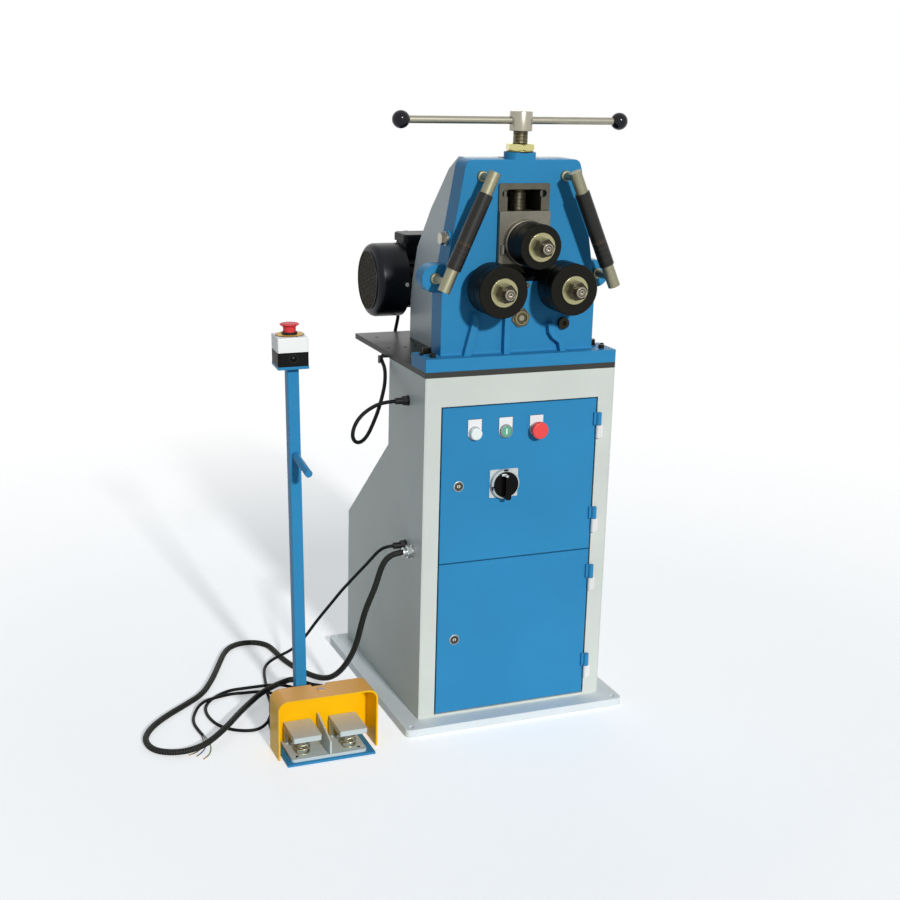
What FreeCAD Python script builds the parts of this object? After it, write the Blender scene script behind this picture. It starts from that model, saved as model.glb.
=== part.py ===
import FreeCAD, Part
import math
import os

# Ring roller for rod, tube and strip. Millimetres, +Z up, floor at z = 0, X to the operator's right.
# Depths in this file are measured back from the cabinet's front face. The export moves
# everything so that the origin is the centre of the four anchor holes.

# ---- driving dimensions ----
CAB_HALF, CAB_TOP = 231.0, 821.0
CAB_DEPTH, CAB_UPPER_DEPTH = 521.0, 230.0
SLOPE_LOW, SLOPE_HIGH = 365.0, 616.0
SHEET = 2.5

TRAY_WALL, TRAY_CORNER, TRAY_FRONT, TRAY_BACK, TRAY_SIDE = 4.0, 14.0, 47.0, 22.0, 45.0
TRAY_W, TRAY_D, TRAY_H = 2 * (CAB_HALF + TRAY_SIDE), TRAY_FRONT + CAB_DEPTH + TRAY_BACK, 18.0
ANCHOR_R, ANCHOR_INSET, ANCHOR_BUSH_R = 5.5, 18.0, 11.0

DOOR_OPENING, OPENING_LOW, OPENING_HIGH, RETURN_D = CAB_HALF - 39.0, 24.0, CAB_TOP - 66.0, 22.0
SHELF_Z, SHELF_BACK, SHELF_LIP = 391.5, CAB_DEPTH - 37.0, 25.0

DOOR_CLEARANCE, DOOR_FACE, DOOR_RETURN, DOOR_EDGE_R = 3.0, -0.5, 16.0, 2.0
DOOR_HALF, DOOR_SPLIT = DOOR_OPENING - DOOR_CLEARANCE, 391.0
HINGE_R, HINGE_PIN_R, HINGE_X = 6.0, 2.5, DOOR_OPENING + 1.5
HINGE_Y, KNUCKLE_LEAF = -HINGE_R - 1.0, 12.0
UPPER_HINGES = ((OPENING_HIGH - 35.5, OPENING_HIGH - 65.0, OPENING_HIGH - 95.0),
                (OPENING_HIGH - 261.0, OPENING_HIGH - 289.0, OPENING_HIGH - 321.0))
LOWER_HINGES = ((352.0, 320.0, 290.0), (127.0, 97.0, 67.0))
LOCK_X, UPPER_LOCK_Z, LOWER_LOCK_Z = -DOOR_HALF + 41.5, OPENING_HIGH - 183.0, 206.0
LOCK_BODY_R, LOCK_CORE_R, CAM_REACH = 9.0, 6.5, 50.0
LOCK_RING_R = LOCK_BODY_R + 3.5

CONTROL_Z, LAMP_X, START_X, STOP_X = OPENING_HIGH - 63.0, -112.0, -37.0, 38.5
BEZEL_R, BARREL_R, CAP_R, STEM_R, MUSHROOM_R = 14.5, 11.0, 11.8, 8.8, 19.5
SWITCH_X, SWITCH_Z, SWITCH_W, SWITCH_H, SWITCH_T = -38.0, OPENING_HIGH - 184.0, 69.0, 65.0, 3.0
SWITCH_RING_R, SWITCH_RING_FACE, KNOB_R, GRIP_FACE = 34.0, -15.0, 29.5, -32.0

PLATE_D, PLATE_T = 479.4, 12.7
PLATE_TOP = CAB_TOP + PLATE_T
PLATE_HOLES = ((34.0, 418.0), (17.0, 284.0), (59.0, 285.0), (86.0, 289.0))
PLATE_HOLE_R = 4.5   # the holes are placed from the plate's left edge

FLANGE_TOP, HEAD_BACK, HEAD_FACE = PLATE_TOP + 28.7, 89.0, 32.0
HEAD_HALF_LOW, HEAD_HALF_HIGH = CAB_HALF - 46.0, CAB_HALF - 93.0
HEAD_SHOULDER_Z, HEAD_TOP, HEAD_CORNER, HEAD_BEVEL = PLATE_TOP + 162.3, PLATE_TOP + 450.3, 16.0, 16.0
BOSS_TOP, BOSS_R = HEAD_TOP + 14.5, 35.0
EAR_X, EAR_Z, EAR_R, EAR_FRONT, EAR_BACK = HEAD_HALF_LOW + 11.0, PLATE_TOP + 196.3, 30.0, 46.0, 86.0
LOWER_BOSS_R, RIB_FRONT, RIB_T = 30.0, 17.0, 15.0
GLASS_X, GLASS_Z, GLASS_R = 4.2, PLATE_TOP + 106.0, 19.5
PLUG_X, PLUG_Z, NIPPLE_X, NIPPLE_Z = 108.5, PLATE_TOP + 90.0, 14.0, PLATE_TOP + 178.3
SIDE_BOLT, SIDE_BOLT_R, SHANK_SHARE = (58.0, PLATE_TOP + 281.3), 8.0, 0.6
LENS_R, PLUG_TAIL_R, NIPPLE_TAIL_R = 15.0, 10.0, 4.0

GUIDE_INNER, GUIDE_FACE, GUIDE_LINING, GUIDE_LIP = 40.0, 26.0, 6.0, 14.0
WINDOW_HALF, WINDOW_LOW, WINDOW_HIGH = GUIDE_INNER + GUIDE_LINING, PLATE_TOP + 196.3, PLATE_TOP + 394.3
GUIDE_OUTER = WINDOW_HALF + GUIDE_LIP
GUIDE_LOW, GUIDE_INNER_TOP, GUIDE_TOP = PLATE_TOP + 236.3, PLATE_TOP + 387.3, PLATE_TOP + 400.3
RELIEF_R, RELIEF_Z = 8.0, PLATE_TOP + 378.3
BLOCK_LOW, BLOCK_HIGH, BLOCK_FRONT = PLATE_TOP + 228.3, PLATE_TOP + 338.3, 18.0
BLOCK_BOSS_R, BLOCK_BOSS_FACE = 50.0, 3.5
LOCATING_PIN = (-52.0, PLATE_TOP + 260.0)

SCREW_Y, SCREW_R, SCREW_TIP_R = 59.0, 16.5, 12.0
LOCK_NUT_AF, LOCK_NUT_H, LOCK_WASHER_H = 55.0, 15.0, 3.0
HUB_LOW, HUB_HIGH, HUB_R = PLATE_TOP + 509.3, PLATE_TOP + 551.3, 25.0
BAR_Z, BAR_R, BAR_LEFT, BAR_RIGHT, BALL_R = PLATE_TOP + 531.3, 8.0, -275.5, 239.0, 19.0

LOWER_X, LOWER_Z, UPPER_Z = 83.5, PLATE_TOP + 179.8, PLATE_TOP + 274.3
LOWER_ROLL_R, UPPER_ROLL_R, RING_CHAMFER = 56.35, 48.2, 2.0
ROLL_FRONT, ROLL_BACK, LOWER_RING, UPPER_RING = -68.0, 2.0, 30.0, 38.0
SPINDLE_R, SPINDLE_TIP = 15.0, -104.0
SHOULDER_R = SPINDLE_R + 6.0
THREAD_R, NUT_AF, NUT_T, WASHER_R, WASHER_T = 12.0, 36.0, 19.0, 31.0, 5.0
BEARING_R, BEARING_W = SPINDLE_R + 12.5, 17.0

GEAR_MODULE, GEAR_TEETH, IDLER_TEETH, GEAR_FRONT, GEAR_W = 2.5, 22, 46, 97.0, 28.0
PRESSURE_ANGLE, BACKLASH = math.radians(20.0), 0.2
IDLER_AXLE_R = 12.0

COVER_HALF, COVER_T = LOWER_X + 34.5, 3.0
COVER_PROFILE = ((HEAD_BACK, HEAD_TOP + 1.0), (119.0, HEAD_TOP + 1.0), (175.0, HEAD_TOP - 30.0),
                 (278.0, HEAD_TOP - 128.0), (360.0, HEAD_TOP - 226.0), (400.0, HEAD_TOP - 335.0),
                 (400.0, PLATE_TOP))

MOTOR_Y, MOTOR_Z = 481.0, PLATE_TOP + 129.8
FRAME_R, FRAME_RIGHT, FRAME_LEFT = 62.0, 3.0, -116.0
FIN_R, FIN_COUNT = 70.0, 18
COWL_R, COWL_T, COWL_START, COWL_END, COWL_ROUND = 89.0, 2.5, -121.0, -202.0, 17.0
GRILLE_R, GRILLE_PITCH, GRILLE_BAR = 70.0, 17.5, 3.0
FAN_R, MOTOR_SHAFT_R = 64.0, 12.0
TERMINAL_LEFT, TERMINAL_RIGHT, TERMINAL_FRONT, TERMINAL_BACK = -120.0, -30.0, 440.0, 525.0
TERMINAL_LOW, TERMINAL_HIGH, TERMINAL_CORNER = MOTOR_Z + 92.5, MOTOR_Z + 112.5, 12.0
TERMINAL_GLAND_X, TERMINAL_GLAND_Z, TERMINAL_REACH = -85.0, MOTOR_Z + 102.5, 18.0

ROD_Y, ROD_R, ROD_CORE_R = -24.0, 13.5, 11.0
SLEEVE_R = ROD_R + 3.0
ROD_TOP, ROD_BOTTOM = (HEAD_HALF_HIGH - 44.5, PLATE_TOP + 427.8), (EAR_X + 8.0, PLATE_TOP + 178.3)
SLEEVE_START, SLEEVE_JOINT, SLEEVE_END = 49.0, 164.0, 221.0
STUD_R, STUD_HEAD_R, STUD_DEPTH = 8.0, 12.0, 28.0
STUD_TOP, STUD_BOTTOM = (HEAD_HALF_HIGH - 39.0, PLATE_TOP + 415.3), (EAR_X, PLATE_TOP + 197.3)

POST_X, POST_FRONT, POST_W, FLOOR_PLATE_T, POST_TOP = -467.0, 139.0, 26.0, 5.0, 833.1
LEAN = 1.33          # degrees that the post and its box lean to the left
FLOOR_PLATE = ((-567.0, -94.0), (-367.0, -94.0), (-367.0, 20.0), (-383.0, 140.0), (-401.0, 176.0),
               (-533.0, 176.0), (-551.0, 140.0), (-567.0, 20.0))
PEG_R, PEG_START, PEG_END = 8.3, (-467.3, 144.0, 634.0), (-465.0, 44.0, 616.0)
BOX_X, BOX_Y, BOX_W, BOX_D, BOX_TURN = -470.0, 150.7, 68.0, 72.0, -4.2
BOX_LOW, BOX_SPLIT, BOX_HIGH, BOX_WALL = POST_TOP + 6.0, POST_TOP + 37.0, POST_TOP + 69.4, 3.0
KNOCKOUT_X, KNOCKOUT_Z = -492.0, POST_TOP + 23.0
RING_PLATE_R, COLLAR_R, ESTOP_NECK_R, ESTOP_CAP_R, ESTOP_STEM_R = 31.5, 17.0, 14.0, 19.5, 11.0
COLLAR_TOP, COLLAR_FLOOR, ESTOP_FACE = BOX_HIGH + 7.5, BOX_HIGH + 1.0, BOX_HIGH + 24.5

FOOT_LEFT, FOOT_RIGHT, FOOT_FRONT, FOOT_BACK = -555.0, -384.0, -86.0, 40.0
FOOT_LOW, FOOT_HIGH = FLOOR_PLATE_T, 12.0
PEDAL_FRONT, PEDAL_REAR, PEDAL_LOW, PEDAL_T, PEDAL_LIP, PEDAL_WALL = -79.0, 8.0, 54.0, 4.0, 8.0, 3.5
PEDAL_W, LEFT_PEDAL_X, RIGHT_PEDAL_X = 63.0, -517.5, -412.5
PEDAL_PIVOT_Y, PEDAL_PIVOT_Z, PEDAL_PIN_R, PEDAL_BARREL_R = -1.0, 46.5, 4.0, 6.3
LUG_R, LUG_INNER, LUG_OUTER, PIN_END = 6.5, 25.0, 31.0, 33.0
WALL_CUT_Y, DIVIDER_X, DIVIDER_T = -14.0, -472.0, 4.0
SPRING_R, SPRING_WIRE, SPRING_TURNS = 14.5, 1.6, 4
LEFT_SPRING, RIGHT_SPRING = (-523.5, -57.0), (-417.5, -59.0)
GUARD_LEFT, GUARD_RIGHT, GUARD_FRONT, GUARD_REAR = -578.0, -350.0, -58.0, 14.0
GUARD_TOP, GUARD_T, GUARD_CORNER = 137.0, 4.0, 22.0
NOTCH_LEFT, NOTCH_RIGHT, NOTCH_FRONT, NOTCH_DEPTH = -484.0, -450.0, 3.5, 12.0
GUARD_PLUG, GUARD_PLUG_R = (-470.0, -19.8), 8.5

CONDUIT_R, MAINS_R, MOTOR_CABLE_R, CORE_WIRE_R = 7.0, 3.75, 4.3, 1.2

# depth, height, reach from the panel, nut across flats and body radius of the glands in the left panel
GLANDS = ((103.6, CAB_TOP - 71.0, 31.0, 19.0, 7.5), (103.0, 410.0, 31.0, 19.0, 7.5),
          (61.0, 408.0, 24.0, 27.0, 11.0))

# ---- fits ----
SEAT_FIT = 0.03      # pressed or bolted seats
RUNNING_FIT = 0.05   # journals, hinges and slides
FREE_GAP = 1.0       # parts that pass without touching

# ---- cable routes, after the gland that each one leaves ----
CONDUIT_ROUTE = (
    (-270, 61.3, 406.5), (-283.5, 63.5, 401), (-295, 68.5, 387.5), (-303, 75.5, 361), (-311, 83, 321),
    (-327, 98, 268), (-333, 114, 221), (-336, 135, 168), (-340, 170, 117), (-346, 222, 63),
    (-356, 268, 27), (-370, 308, 10), (-392, 350, 7.3), (-414, 408, 7.3), (-427, 469, 7.3),
    (-432, 518, 7.3), (-438, 557, 7.3), (-464, 585, 7.3), (-501, 591, 7.3), (-534, 574, 7.3),
    (-556, 542, 7.3), (-576, 498, 7.3), (-598, 446, 7.3), (-622, 392, 7.3), (-662, 317, 7.3),
    (-714, 271, 7.3), (-768, 226, 7.3), (-812, 178, 7.3), (-838, 122, 7.3), (-826, 62, 7.3),
    (-774, 35, 8), (-724, 40, 13), (-689, 62, 20), (-652, 98, 26), (-607, 168, 20),
    (-568, 218, 18), (-540, 241, 24), (-508, 260, 28), (-478, 280, 26), (-442, 300, 24),
    (-407, 305, 17), (-377, 290, 9), (-360, 255, 7.5), (-366, 214, 11), (-386, 182, 17),
    (-410, 156, 17), (-430, 126, 19), (-444, 92, 25), (-450, 54, 28))
MAINS_ROUTE = (
    (-274, 103.8, 409.5), (-285, 108, 405), (-293.5, 118, 394), (-300, 137, 374), (-307, 161, 349),
    (-319, 185, 321), (-330, 209, 293),
    (-341, 236, 263), (-354, 262, 228), (-368, 290, 191), (-382, 317, 154), (-394, 349, 112),
    (-405, 387, 72), (-417, 423, 42), (-433, 449, 22), (-456, 453, 10), (-478, 434, 4.6),
    (-491, 394, 4.2), (-500, 345, 4.2), (-512, 288, 4.2), (-518, 240, 4.2), (-522, 216, 8),
    (-528, 192, 13), (-536, 165, 13), (-541, 140, 13), (-553, 117, 12.5), (-570, 102, 7),
    (-590, 96, 4.2), (-614, 101, 4.2), (-640, 116, 4.2), (-664, 146, 4.2), (-676, 196, 4.2),
    (-673, 248, 4.2), (-648, 290, 4.2), (-599, 324, 4.2), (-556, 322, 5), (-524, 313, 9),
    (-496, 304, 12.8), (-468, 295, 12), (-444, 280, 7), (-430, 256, 4.2), (-434, 229, 4.2),
    (-455, 213, 4.2), (-480, 220, 9), (-499, 242, 13), (-516, 267, 13), (-538, 288, 8),
    (-566, 298, 4.2), (-592, 303, 4.2), (-622, 297, 4.6), (-648, 281, 9), (-668, 266, 12.8),
    (-687, 249, 10), (-702, 224, 4.6), (-713, 190, 4.2), (-714, 150, 4.2), (-708, 112, 4.2))
# this one's x is measured from the left panel and its height from the cabinet's top
MOTOR_CABLE_ROUTE = (
    (146, 566, 238), (144, 586, 215), (140, 594, 179), (135, 590, 141), (130, 574, 104), (126, 550, 72),
    (122, 522, 45), (113, 500, 11), (103, 480, -15), (87, 448, -23), (67, 410, -20), (45, 370, -14),
    (21, 325, -10), (-1, 287, -9), (-8, 262, -11), (-11, 228, -24), (-22, 197, -51), (-39, 169, -77),
    (-57, 144, -102), (-75, 124, -124), (-95, 105, -146), (-118, 93, -155), (-140, 87, -148),
    (-150, 85, -128), (-145, 88, -105), (-128, 94, -88), (-103, 100, -76), (-75, 103.6, -71))
CORE_ROUTES = (
    ((-708, 112), (-705, 86), (-713, 56), (-727, 32), (-741, 20)),
    ((-710.5, 112), (-710.5, 84), (-724, 52), (-741, 36), (-756, 30)),
    ((-705.5, 112), (-699, 84), (-703, 44), (-714, 16), (-730, 2)))


def vec(x, y, z):
    return FreeCAD.Vector(x, y, z)


def box(x0, x1, y0, y1, z0, z1):
    return Part.makeBox(x1 - x0, y1 - y0, z1 - z0, vec(x0, y0, z0))


def rod(radius, start, end):
    a, b = vec(*start), vec(*end)
    return Part.makeCylinder(radius, (b - a).Length, a, b - a)


def tube(outer, inner, start, end):
    return rod(outer, start, end).cut(rod(inner, start, end))


def along(axis, u, v, w):
    # u and v are the section's two coordinates in alphabetical order, w runs along the axis
    return {"x": vec(w, u, v), "y": vec(u, w, v), "z": vec(u, v, w)}[axis]


def prism(points, axis, low, high):
    ring = [along(axis, u, v, low) for u, v in points]
    face = Part.Face(Part.makePolygon(ring + ring[:1]))
    return face.extrude(along(axis, 0, 0, high - low))


def hexagon(across_flats, axis, centre, low, high, turn=0.0):
    radius = across_flats / math.sqrt(3.0)
    angles = [math.radians(60 * i + turn) for i in range(6)]
    points = [(centre[0] + radius * math.cos(a), centre[1] + radius * math.sin(a)) for a in angles]
    return prism(points, axis, low, high)


def bevelled_hexagon(across_flats, axis, centre, low, high, turn=0.0):
    blank = hexagon(across_flats, axis, centre, low, high, turn)
    small, wide = 0.48 * across_flats, 0.59 * across_flats
    drop = 0.55 * (wide - small)
    ends = [along(axis, *centre, w) for w in (low, low + drop, high - drop, high)]
    lower = Part.makeCone(small, wide, drop, ends[0], along(axis, 0, 0, 1))
    upper = Part.makeCone(wide, small, drop, ends[2], along(axis, 0, 0, 1))
    return blank.common(fuse(lower, rod(wide, ends[1], ends[2]), upper))


def rim_edges(shape, axis, place):
    # the round edges that lie in one plane across the given axis
    found = []
    for edge in shape.Edges:
        if edge.Curve.TypeId == "Part::GeomCircle" and abs(getattr(edge.CenterOfMass, axis) - place) < 0.01:
            found.append(edge)
    return found


def fuse(*shapes):
    solid = shapes[0]
    for other in shapes[1:]:
        solid = solid.fuse(other)
    return solid.removeSplitter()


def cut(shape, *tools):
    for tool in tools:
        shape = shape.cut(tool)
    return shape


def mirrored(shape):
    return shape.mirror(vec(0, 0, 0), vec(1, 0, 0))


def edges_along(shape, direction, keep=lambda centre: True):
    found = []
    for edge in shape.Edges:
        if edge.Curve.TypeId != "Part::GeomLine" or not keep(edge.CenterOfMass):
            continue
        if abs(edge.tangentAt(edge.FirstParameter).dot(vec(*direction))) > 0.999:
            found.append(edge)
    return found


def rounded(shape, radius, direction, keep=lambda centre: True):
    return shape.makeFillet(radius, edges_along(shape, direction, keep))


def folded(points, axis, low, high, thickness):
    # sheet that follows a line of points, with its thickness on the left of the line
    inner = []
    for i, (u, v) in enumerate(points):
        normals = []
        for a, b in ((i - 1, i), (i, i + 1)):
            if 0 <= a and b < len(points):
                du, dv = points[b][0] - points[a][0], points[b][1] - points[a][1]
                length = math.hypot(du, dv)
                normals.append((-dv / length, du / length))
        nu, nv = sum(n[0] for n in normals), sum(n[1] for n in normals)
        scale = thickness * len(normals) / (nu * nu + nv * nv)
        inner.append((u + nu * scale, v + nv * scale))
    return prism(list(points) + inner[::-1], axis, low, high)


def cable(name, radius, route):
    points = [vec(*p) for p in route]
    runs = [(b - a).Length for a, b in zip(points, points[1:])]
    edges, last, radii = [], points[0], []
    for i in range(1, len(points) - 1):
        into = (points[i] - points[i - 1]).normalize()
        out = (points[i + 1] - points[i]).normalize()
        turn = math.acos(max(-1.0, min(1.0, into.dot(out))))
        if turn < math.radians(0.5):
            continue
        trim = 0.45 * min(runs[i - 1], runs[i])
        bend = trim / math.tan(turn / 2)
        start, end = points[i] - into * trim, points[i] + out * trim
        bisector = (out - into).normalize()
        middle = points[i] + bisector * (bend / math.cos(turn / 2) - bend)
        edges.append(Part.makeLine(last, start))
        edges.append(Part.Arc(start, middle, end).toShape())
        last = end
        radii.append(bend)
    edges.append(Part.makeLine(last, points[-1]))
    wire = Part.Wire(edges)
    section = Part.Wire([Part.makeCircle(radius, points[0], points[1] - points[0])])
    solid = wire.makePipeShell([section], True, False)
    expected = math.pi * radius * radius * wire.Length
    print("%s: length %.0f mm, least bend radius %.0f mm, volume / (section x length) %.4f"
          % (name, wire.Length, min(radii), solid.Volume / expected))
    return solid


def involute_gear(teeth, axis_x, axis_z, tooth_angle, bore):
    pitch_r = GEAR_MODULE * teeth / 2.0
    base_r, tip_r = pitch_r * math.cos(PRESSURE_ANGLE), pitch_r + GEAR_MODULE
    root_r = pitch_r - 1.25 * GEAR_MODULE
    inv = math.tan(PRESSURE_ANGLE) - PRESSURE_ANGLE
    half_pitch_tooth = math.pi / (2 * teeth) - BACKLASH / (2 * pitch_r)
    flank = []
    for step in range(4):
        radius = max(base_r, root_r) + (tip_r - max(base_r, root_r)) * step / 3.0
        angle = math.acos(min(1.0, base_r / radius))
        flank.append((radius, half_pitch_tooth + inv - (math.tan(angle) - angle)))
    points = []
    for i in range(teeth):
        centre = tooth_angle + 2 * math.pi * i / teeth
        section = [(root_r, -flank[0][1] * 1.08)] + [(r, -a) for r, a in flank]
        section += [(r, a) for r, a in reversed(flank)] + [(root_r, flank[0][1] * 1.08)]
        for radius, angle in section:
            turn = centre + angle
            points.append((axis_x + radius * math.cos(turn), axis_z + radius * math.sin(turn)))
    blank = prism(points, "y", GEAR_FRONT, GEAR_FRONT + GEAR_W)
    return blank.cut(rod(bore, (axis_x, GEAR_FRONT - 1, axis_z), (axis_x, GEAR_FRONT + GEAR_W + 1, axis_z)))


# ---- cabinet ----

def base_tray():
    half = TRAY_W / 2
    front, back = -TRAY_FRONT, TRAY_D - TRAY_FRONT
    outer = rounded(box(-half, half, front, back, 0, TRAY_H), TRAY_CORNER, (0, 0, 1))
    wall = TRAY_WALL
    inner = box(-half + wall, half - wall, front + wall, back - wall, -1, TRAY_H - wall)
    inner = rounded(inner, TRAY_CORNER - wall, (0, 0, 1))
    bushes = [rod(ANCHOR_BUSH_R, (x, y, 0), (x, y, TRAY_H - wall)) for x, y in anchor_holes()]
    holes = [rod(ANCHOR_R, (x, y, -1), (x, y, TRAY_H + 1)) for x, y in anchor_holes()]
    return cut(fuse(cut(outer, inner), *bushes), *holes)


def anchor_holes():
    x = TRAY_W / 2 - ANCHOR_INSET
    rows = (-TRAY_FRONT + ANCHOR_INSET, TRAY_D - TRAY_FRONT - ANCHOR_INSET)
    return [(sign * x, y) for y in rows for sign in (-1, 1)]


def left_side():
    holes = []
    for y, z, reach, nut_af, body_r in GLANDS:
        holes.append(rod(body_r + SEAT_FIT, (-CAB_HALF - 1, y, z), (SHEET - CAB_HALF + 1, y, z)))
    return cut(mirrored(side_panel()), *holes)


def side_panel():
    profile = ((0, TRAY_H), (CAB_DEPTH, TRAY_H), (CAB_DEPTH, SLOPE_LOW), (CAB_UPPER_DEPTH, SLOPE_HIGH),
               (CAB_UPPER_DEPTH, CAB_TOP), (0, CAB_TOP))
    return prism(profile, "x", CAB_HALF - SHEET, CAB_HALF)


def cabinet_back():
    inside = CAB_HALF - SHEET
    lower, upper = CAB_DEPTH, CAB_UPPER_DEPTH
    line = ((lower, TRAY_H), (lower, SLOPE_LOW), (upper, SLOPE_HIGH), (upper, CAB_TOP))
    return folded(line, "x", -inside, inside, SHEET)


def front_frame():
    inside = CAB_HALF - SHEET
    opening = box(-DOOR_OPENING, DOOR_OPENING, -1, SHEET + RETURN_D + 1, OPENING_LOW, OPENING_HIGH)
    face = box(-inside, inside, 0, SHEET, TRAY_H, CAB_TOP)
    wide = DOOR_OPENING + SHEET
    returns = box(-wide, wide, SHEET, RETURN_D + SHEET, OPENING_LOW - SHEET, OPENING_HIGH + SHEET)
    return cut(fuse(face, returns), opening)


def cabinet_shelf():
    inside = CAB_HALF - SHEET
    front = RETURN_D + SHEET
    deck = box(-inside, inside, front, SHELF_BACK, SHELF_Z - SHEET, SHELF_Z)
    lip = box(-inside, inside, front, front + SHEET, SHELF_Z - SHELF_LIP, SHELF_Z)
    return fuse(deck, lip)


def hinge_knuckle(low, high):
    return rod(HINGE_R, (HINGE_X, HINGE_Y, low), (HINGE_X, HINGE_Y, high))


def hinge_leaf(x0, x1, low, high, back):
    return box(x0, x1, HINGE_Y + 1.0, back, low, high)


def hinge_pins():
    solids = []
    for top, middle, low in UPPER_HINGES + LOWER_HINGES:
        leaf = hinge_leaf(HINGE_X, HINGE_X + KNUCKLE_LEAF, low, middle, 0.0)
        pin = rod(HINGE_PIN_R, (HINGE_X, HINGE_Y, middle - 1), (HINGE_X, HINGE_Y, top - 4))
        solids.append(fuse(hinge_knuckle(low, middle), leaf, pin))
    return solids


def door(low, high, hinges, lock_z, holes):
    front, back = DOOR_FACE, DOOR_FACE + DOOR_RETURN
    pan = box(-DOOR_HALF, DOOR_HALF, front, back, low, high)
    inside = DOOR_HALF - SHEET
    hollow = box(-inside, inside, front + SHEET, back + 1, low + SHEET, high - SHEET)
    pan = rounded(pan, DOOR_EDGE_R, (0, 0, 1), lambda c: c.y < front + 0.1)
    pan = pan.cut(hollow)
    for top, middle, bottom in hinges:
        joint = middle + FREE_GAP / 2
        leaf = hinge_leaf(HINGE_X - KNUCKLE_LEAF, HINGE_X, joint, top, front)
        pan = fuse(pan, leaf, hinge_knuckle(joint, top))
        bore_r = HINGE_PIN_R + RUNNING_FIT
        pan = pan.cut(rod(bore_r, (HINGE_X, HINGE_Y, middle), (HINGE_X, HINGE_Y, top - 3)))
    for radius, x, z in holes + ((LOCK_BODY_R + SEAT_FIT, LOCK_X, lock_z),):
        pan = pan.cut(rod(radius, (x, front - 20, z), (x, back + 20, z)))
    return pan


def lock_housing(z):
    face = DOOR_FACE - 3.5
    ring = rod(LOCK_RING_R, (LOCK_X, face, z), (LOCK_X, DOOR_FACE, z))
    ring = ring.makeChamfer(1.0, rim_edges(ring, "y", face))
    body = rod(LOCK_BODY_R, (LOCK_X, DOOR_FACE, z), (LOCK_X, 22, z))
    nut = hexagon(24, "y", (LOCK_X, z), DOOR_FACE + SHEET, DOOR_FACE + SHEET + 5)
    bore = rod(LOCK_CORE_R + RUNNING_FIT, (LOCK_X, -20, z), (LOCK_X, 40, z))
    return cut(fuse(ring, body, nut), bore)


def lock_core(z):
    core = rod(LOCK_CORE_R, (LOCK_X, DOOR_FACE - 3, z), (LOCK_X, 26, z))
    slot = box(LOCK_X - 1.2, LOCK_X + 1.2, DOOR_FACE - 4, DOOR_FACE + 3, z - 4, z + 4)
    cam = box(LOCK_X - 8, LOCK_X + 8, 26, 29, z - CAM_REACH, z + 8)
    cam = rounded(cam, 6.0, (0, 1, 0))
    return cut(fuse(core, cam, rod(5, (LOCK_X, 29, z), (LOCK_X, 32, z))), slot)


def bezel(x, face, opening):
    ring = rod(BEZEL_R, (x, face, CONTROL_Z), (x, DOOR_FACE, CONTROL_Z))
    ring = ring.makeChamfer(1.0, rim_edges(ring, "y", face))
    barrel = rod(BARREL_R, (x, DOOR_FACE, CONTROL_Z), (x, 30, CONTROL_Z))
    nut = tube(14, BARREL_R, (x, DOOR_FACE + SHEET, CONTROL_Z), (x, 7, CONTROL_Z))
    contacts = box(x - 15, x + 15, 30, 62, CONTROL_Z - 20, CONTROL_Z + 20)
    whole = fuse(ring, barrel, nut, contacts)
    return whole.cut(rod(opening, (x, face - 1, CONTROL_Z), (x, 26, CONTROL_Z)))


def door_fittings():
    lens = rod(BEZEL_R - 0.8, (LAMP_X, -15, CONTROL_Z), (LAMP_X, -4, CONTROL_Z))
    lens = lens.makeFillet(3.0, rim_edges(lens, "y", -15))
    lens = fuse(lens, rod(STEM_R, (LAMP_X, -4, CONTROL_Z), (LAMP_X, 26, CONTROL_Z)))
    recess = rod(CAP_R + RUNNING_FIT, (START_X, -10, CONTROL_Z), (START_X, -1.7, CONTROL_Z))
    running = STEM_R + RUNNING_FIT
    return [bezel(LAMP_X, -4.0, STEM_R + SEAT_FIT), lens, bezel(START_X, -9.0, running).cut(recess),
            bezel(STOP_X, -9.0, running), lock_housing(UPPER_LOCK_Z)]


def switch_plate():
    x, z, face = SWITCH_X, SWITCH_Z, DOOR_FACE - SWITCH_T
    plate = box(x - SWITCH_W / 2, x + SWITCH_W / 2, face, DOOR_FACE, z - SWITCH_H / 2, z + SWITCH_H / 2)
    plate = rounded(plate, 3.0, (0, 1, 0))
    ring = rod(SWITCH_RING_R, (x, SWITCH_RING_FACE, z), (x, face, z))
    ring = ring.makeChamfer(1.5, rim_edges(ring, "y", SWITCH_RING_FACE))
    neck = rod(10, (x, DOOR_FACE, z), (x, 12, z))
    body = box(x - 30, x + 30, 12, 75, z - 32, z + 32)
    bore = rod(5 + RUNNING_FIT, (x, SWITCH_RING_FACE - 1, z), (x, 20, z))
    return cut(fuse(plate, ring, neck, body), bore)


def switch_knob():
    x, z, back = SWITCH_X, SWITCH_Z, SWITCH_RING_FACE - FREE_GAP / 2
    dial = rod(KNOB_R, (x, back - 4.5, z), (x, back, z))
    dial = dial.makeFillet(1.5, rim_edges(dial, "y", back - 4.5))
    grip = box(x - 7, x + 7, GRIP_FACE, back - 4, z - KNOB_R - 3, z + KNOB_R - 4)
    grip = rounded(grip, 5.0, (0, 1, 0))
    shaft = rod(5, (x, back, z), (x, 18, z))
    return fuse(dial, grip, shaft)


def start_button():
    cap = rod(CAP_R, (START_X, -8, CONTROL_Z), (START_X, -4.9, CONTROL_Z))
    cap = cap.makeFillet(1.0, rim_edges(cap, "y", -8))
    return fuse(cap, rod(STEM_R, (START_X, -4.9, CONTROL_Z), (START_X, 18, CONTROL_Z)))


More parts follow.
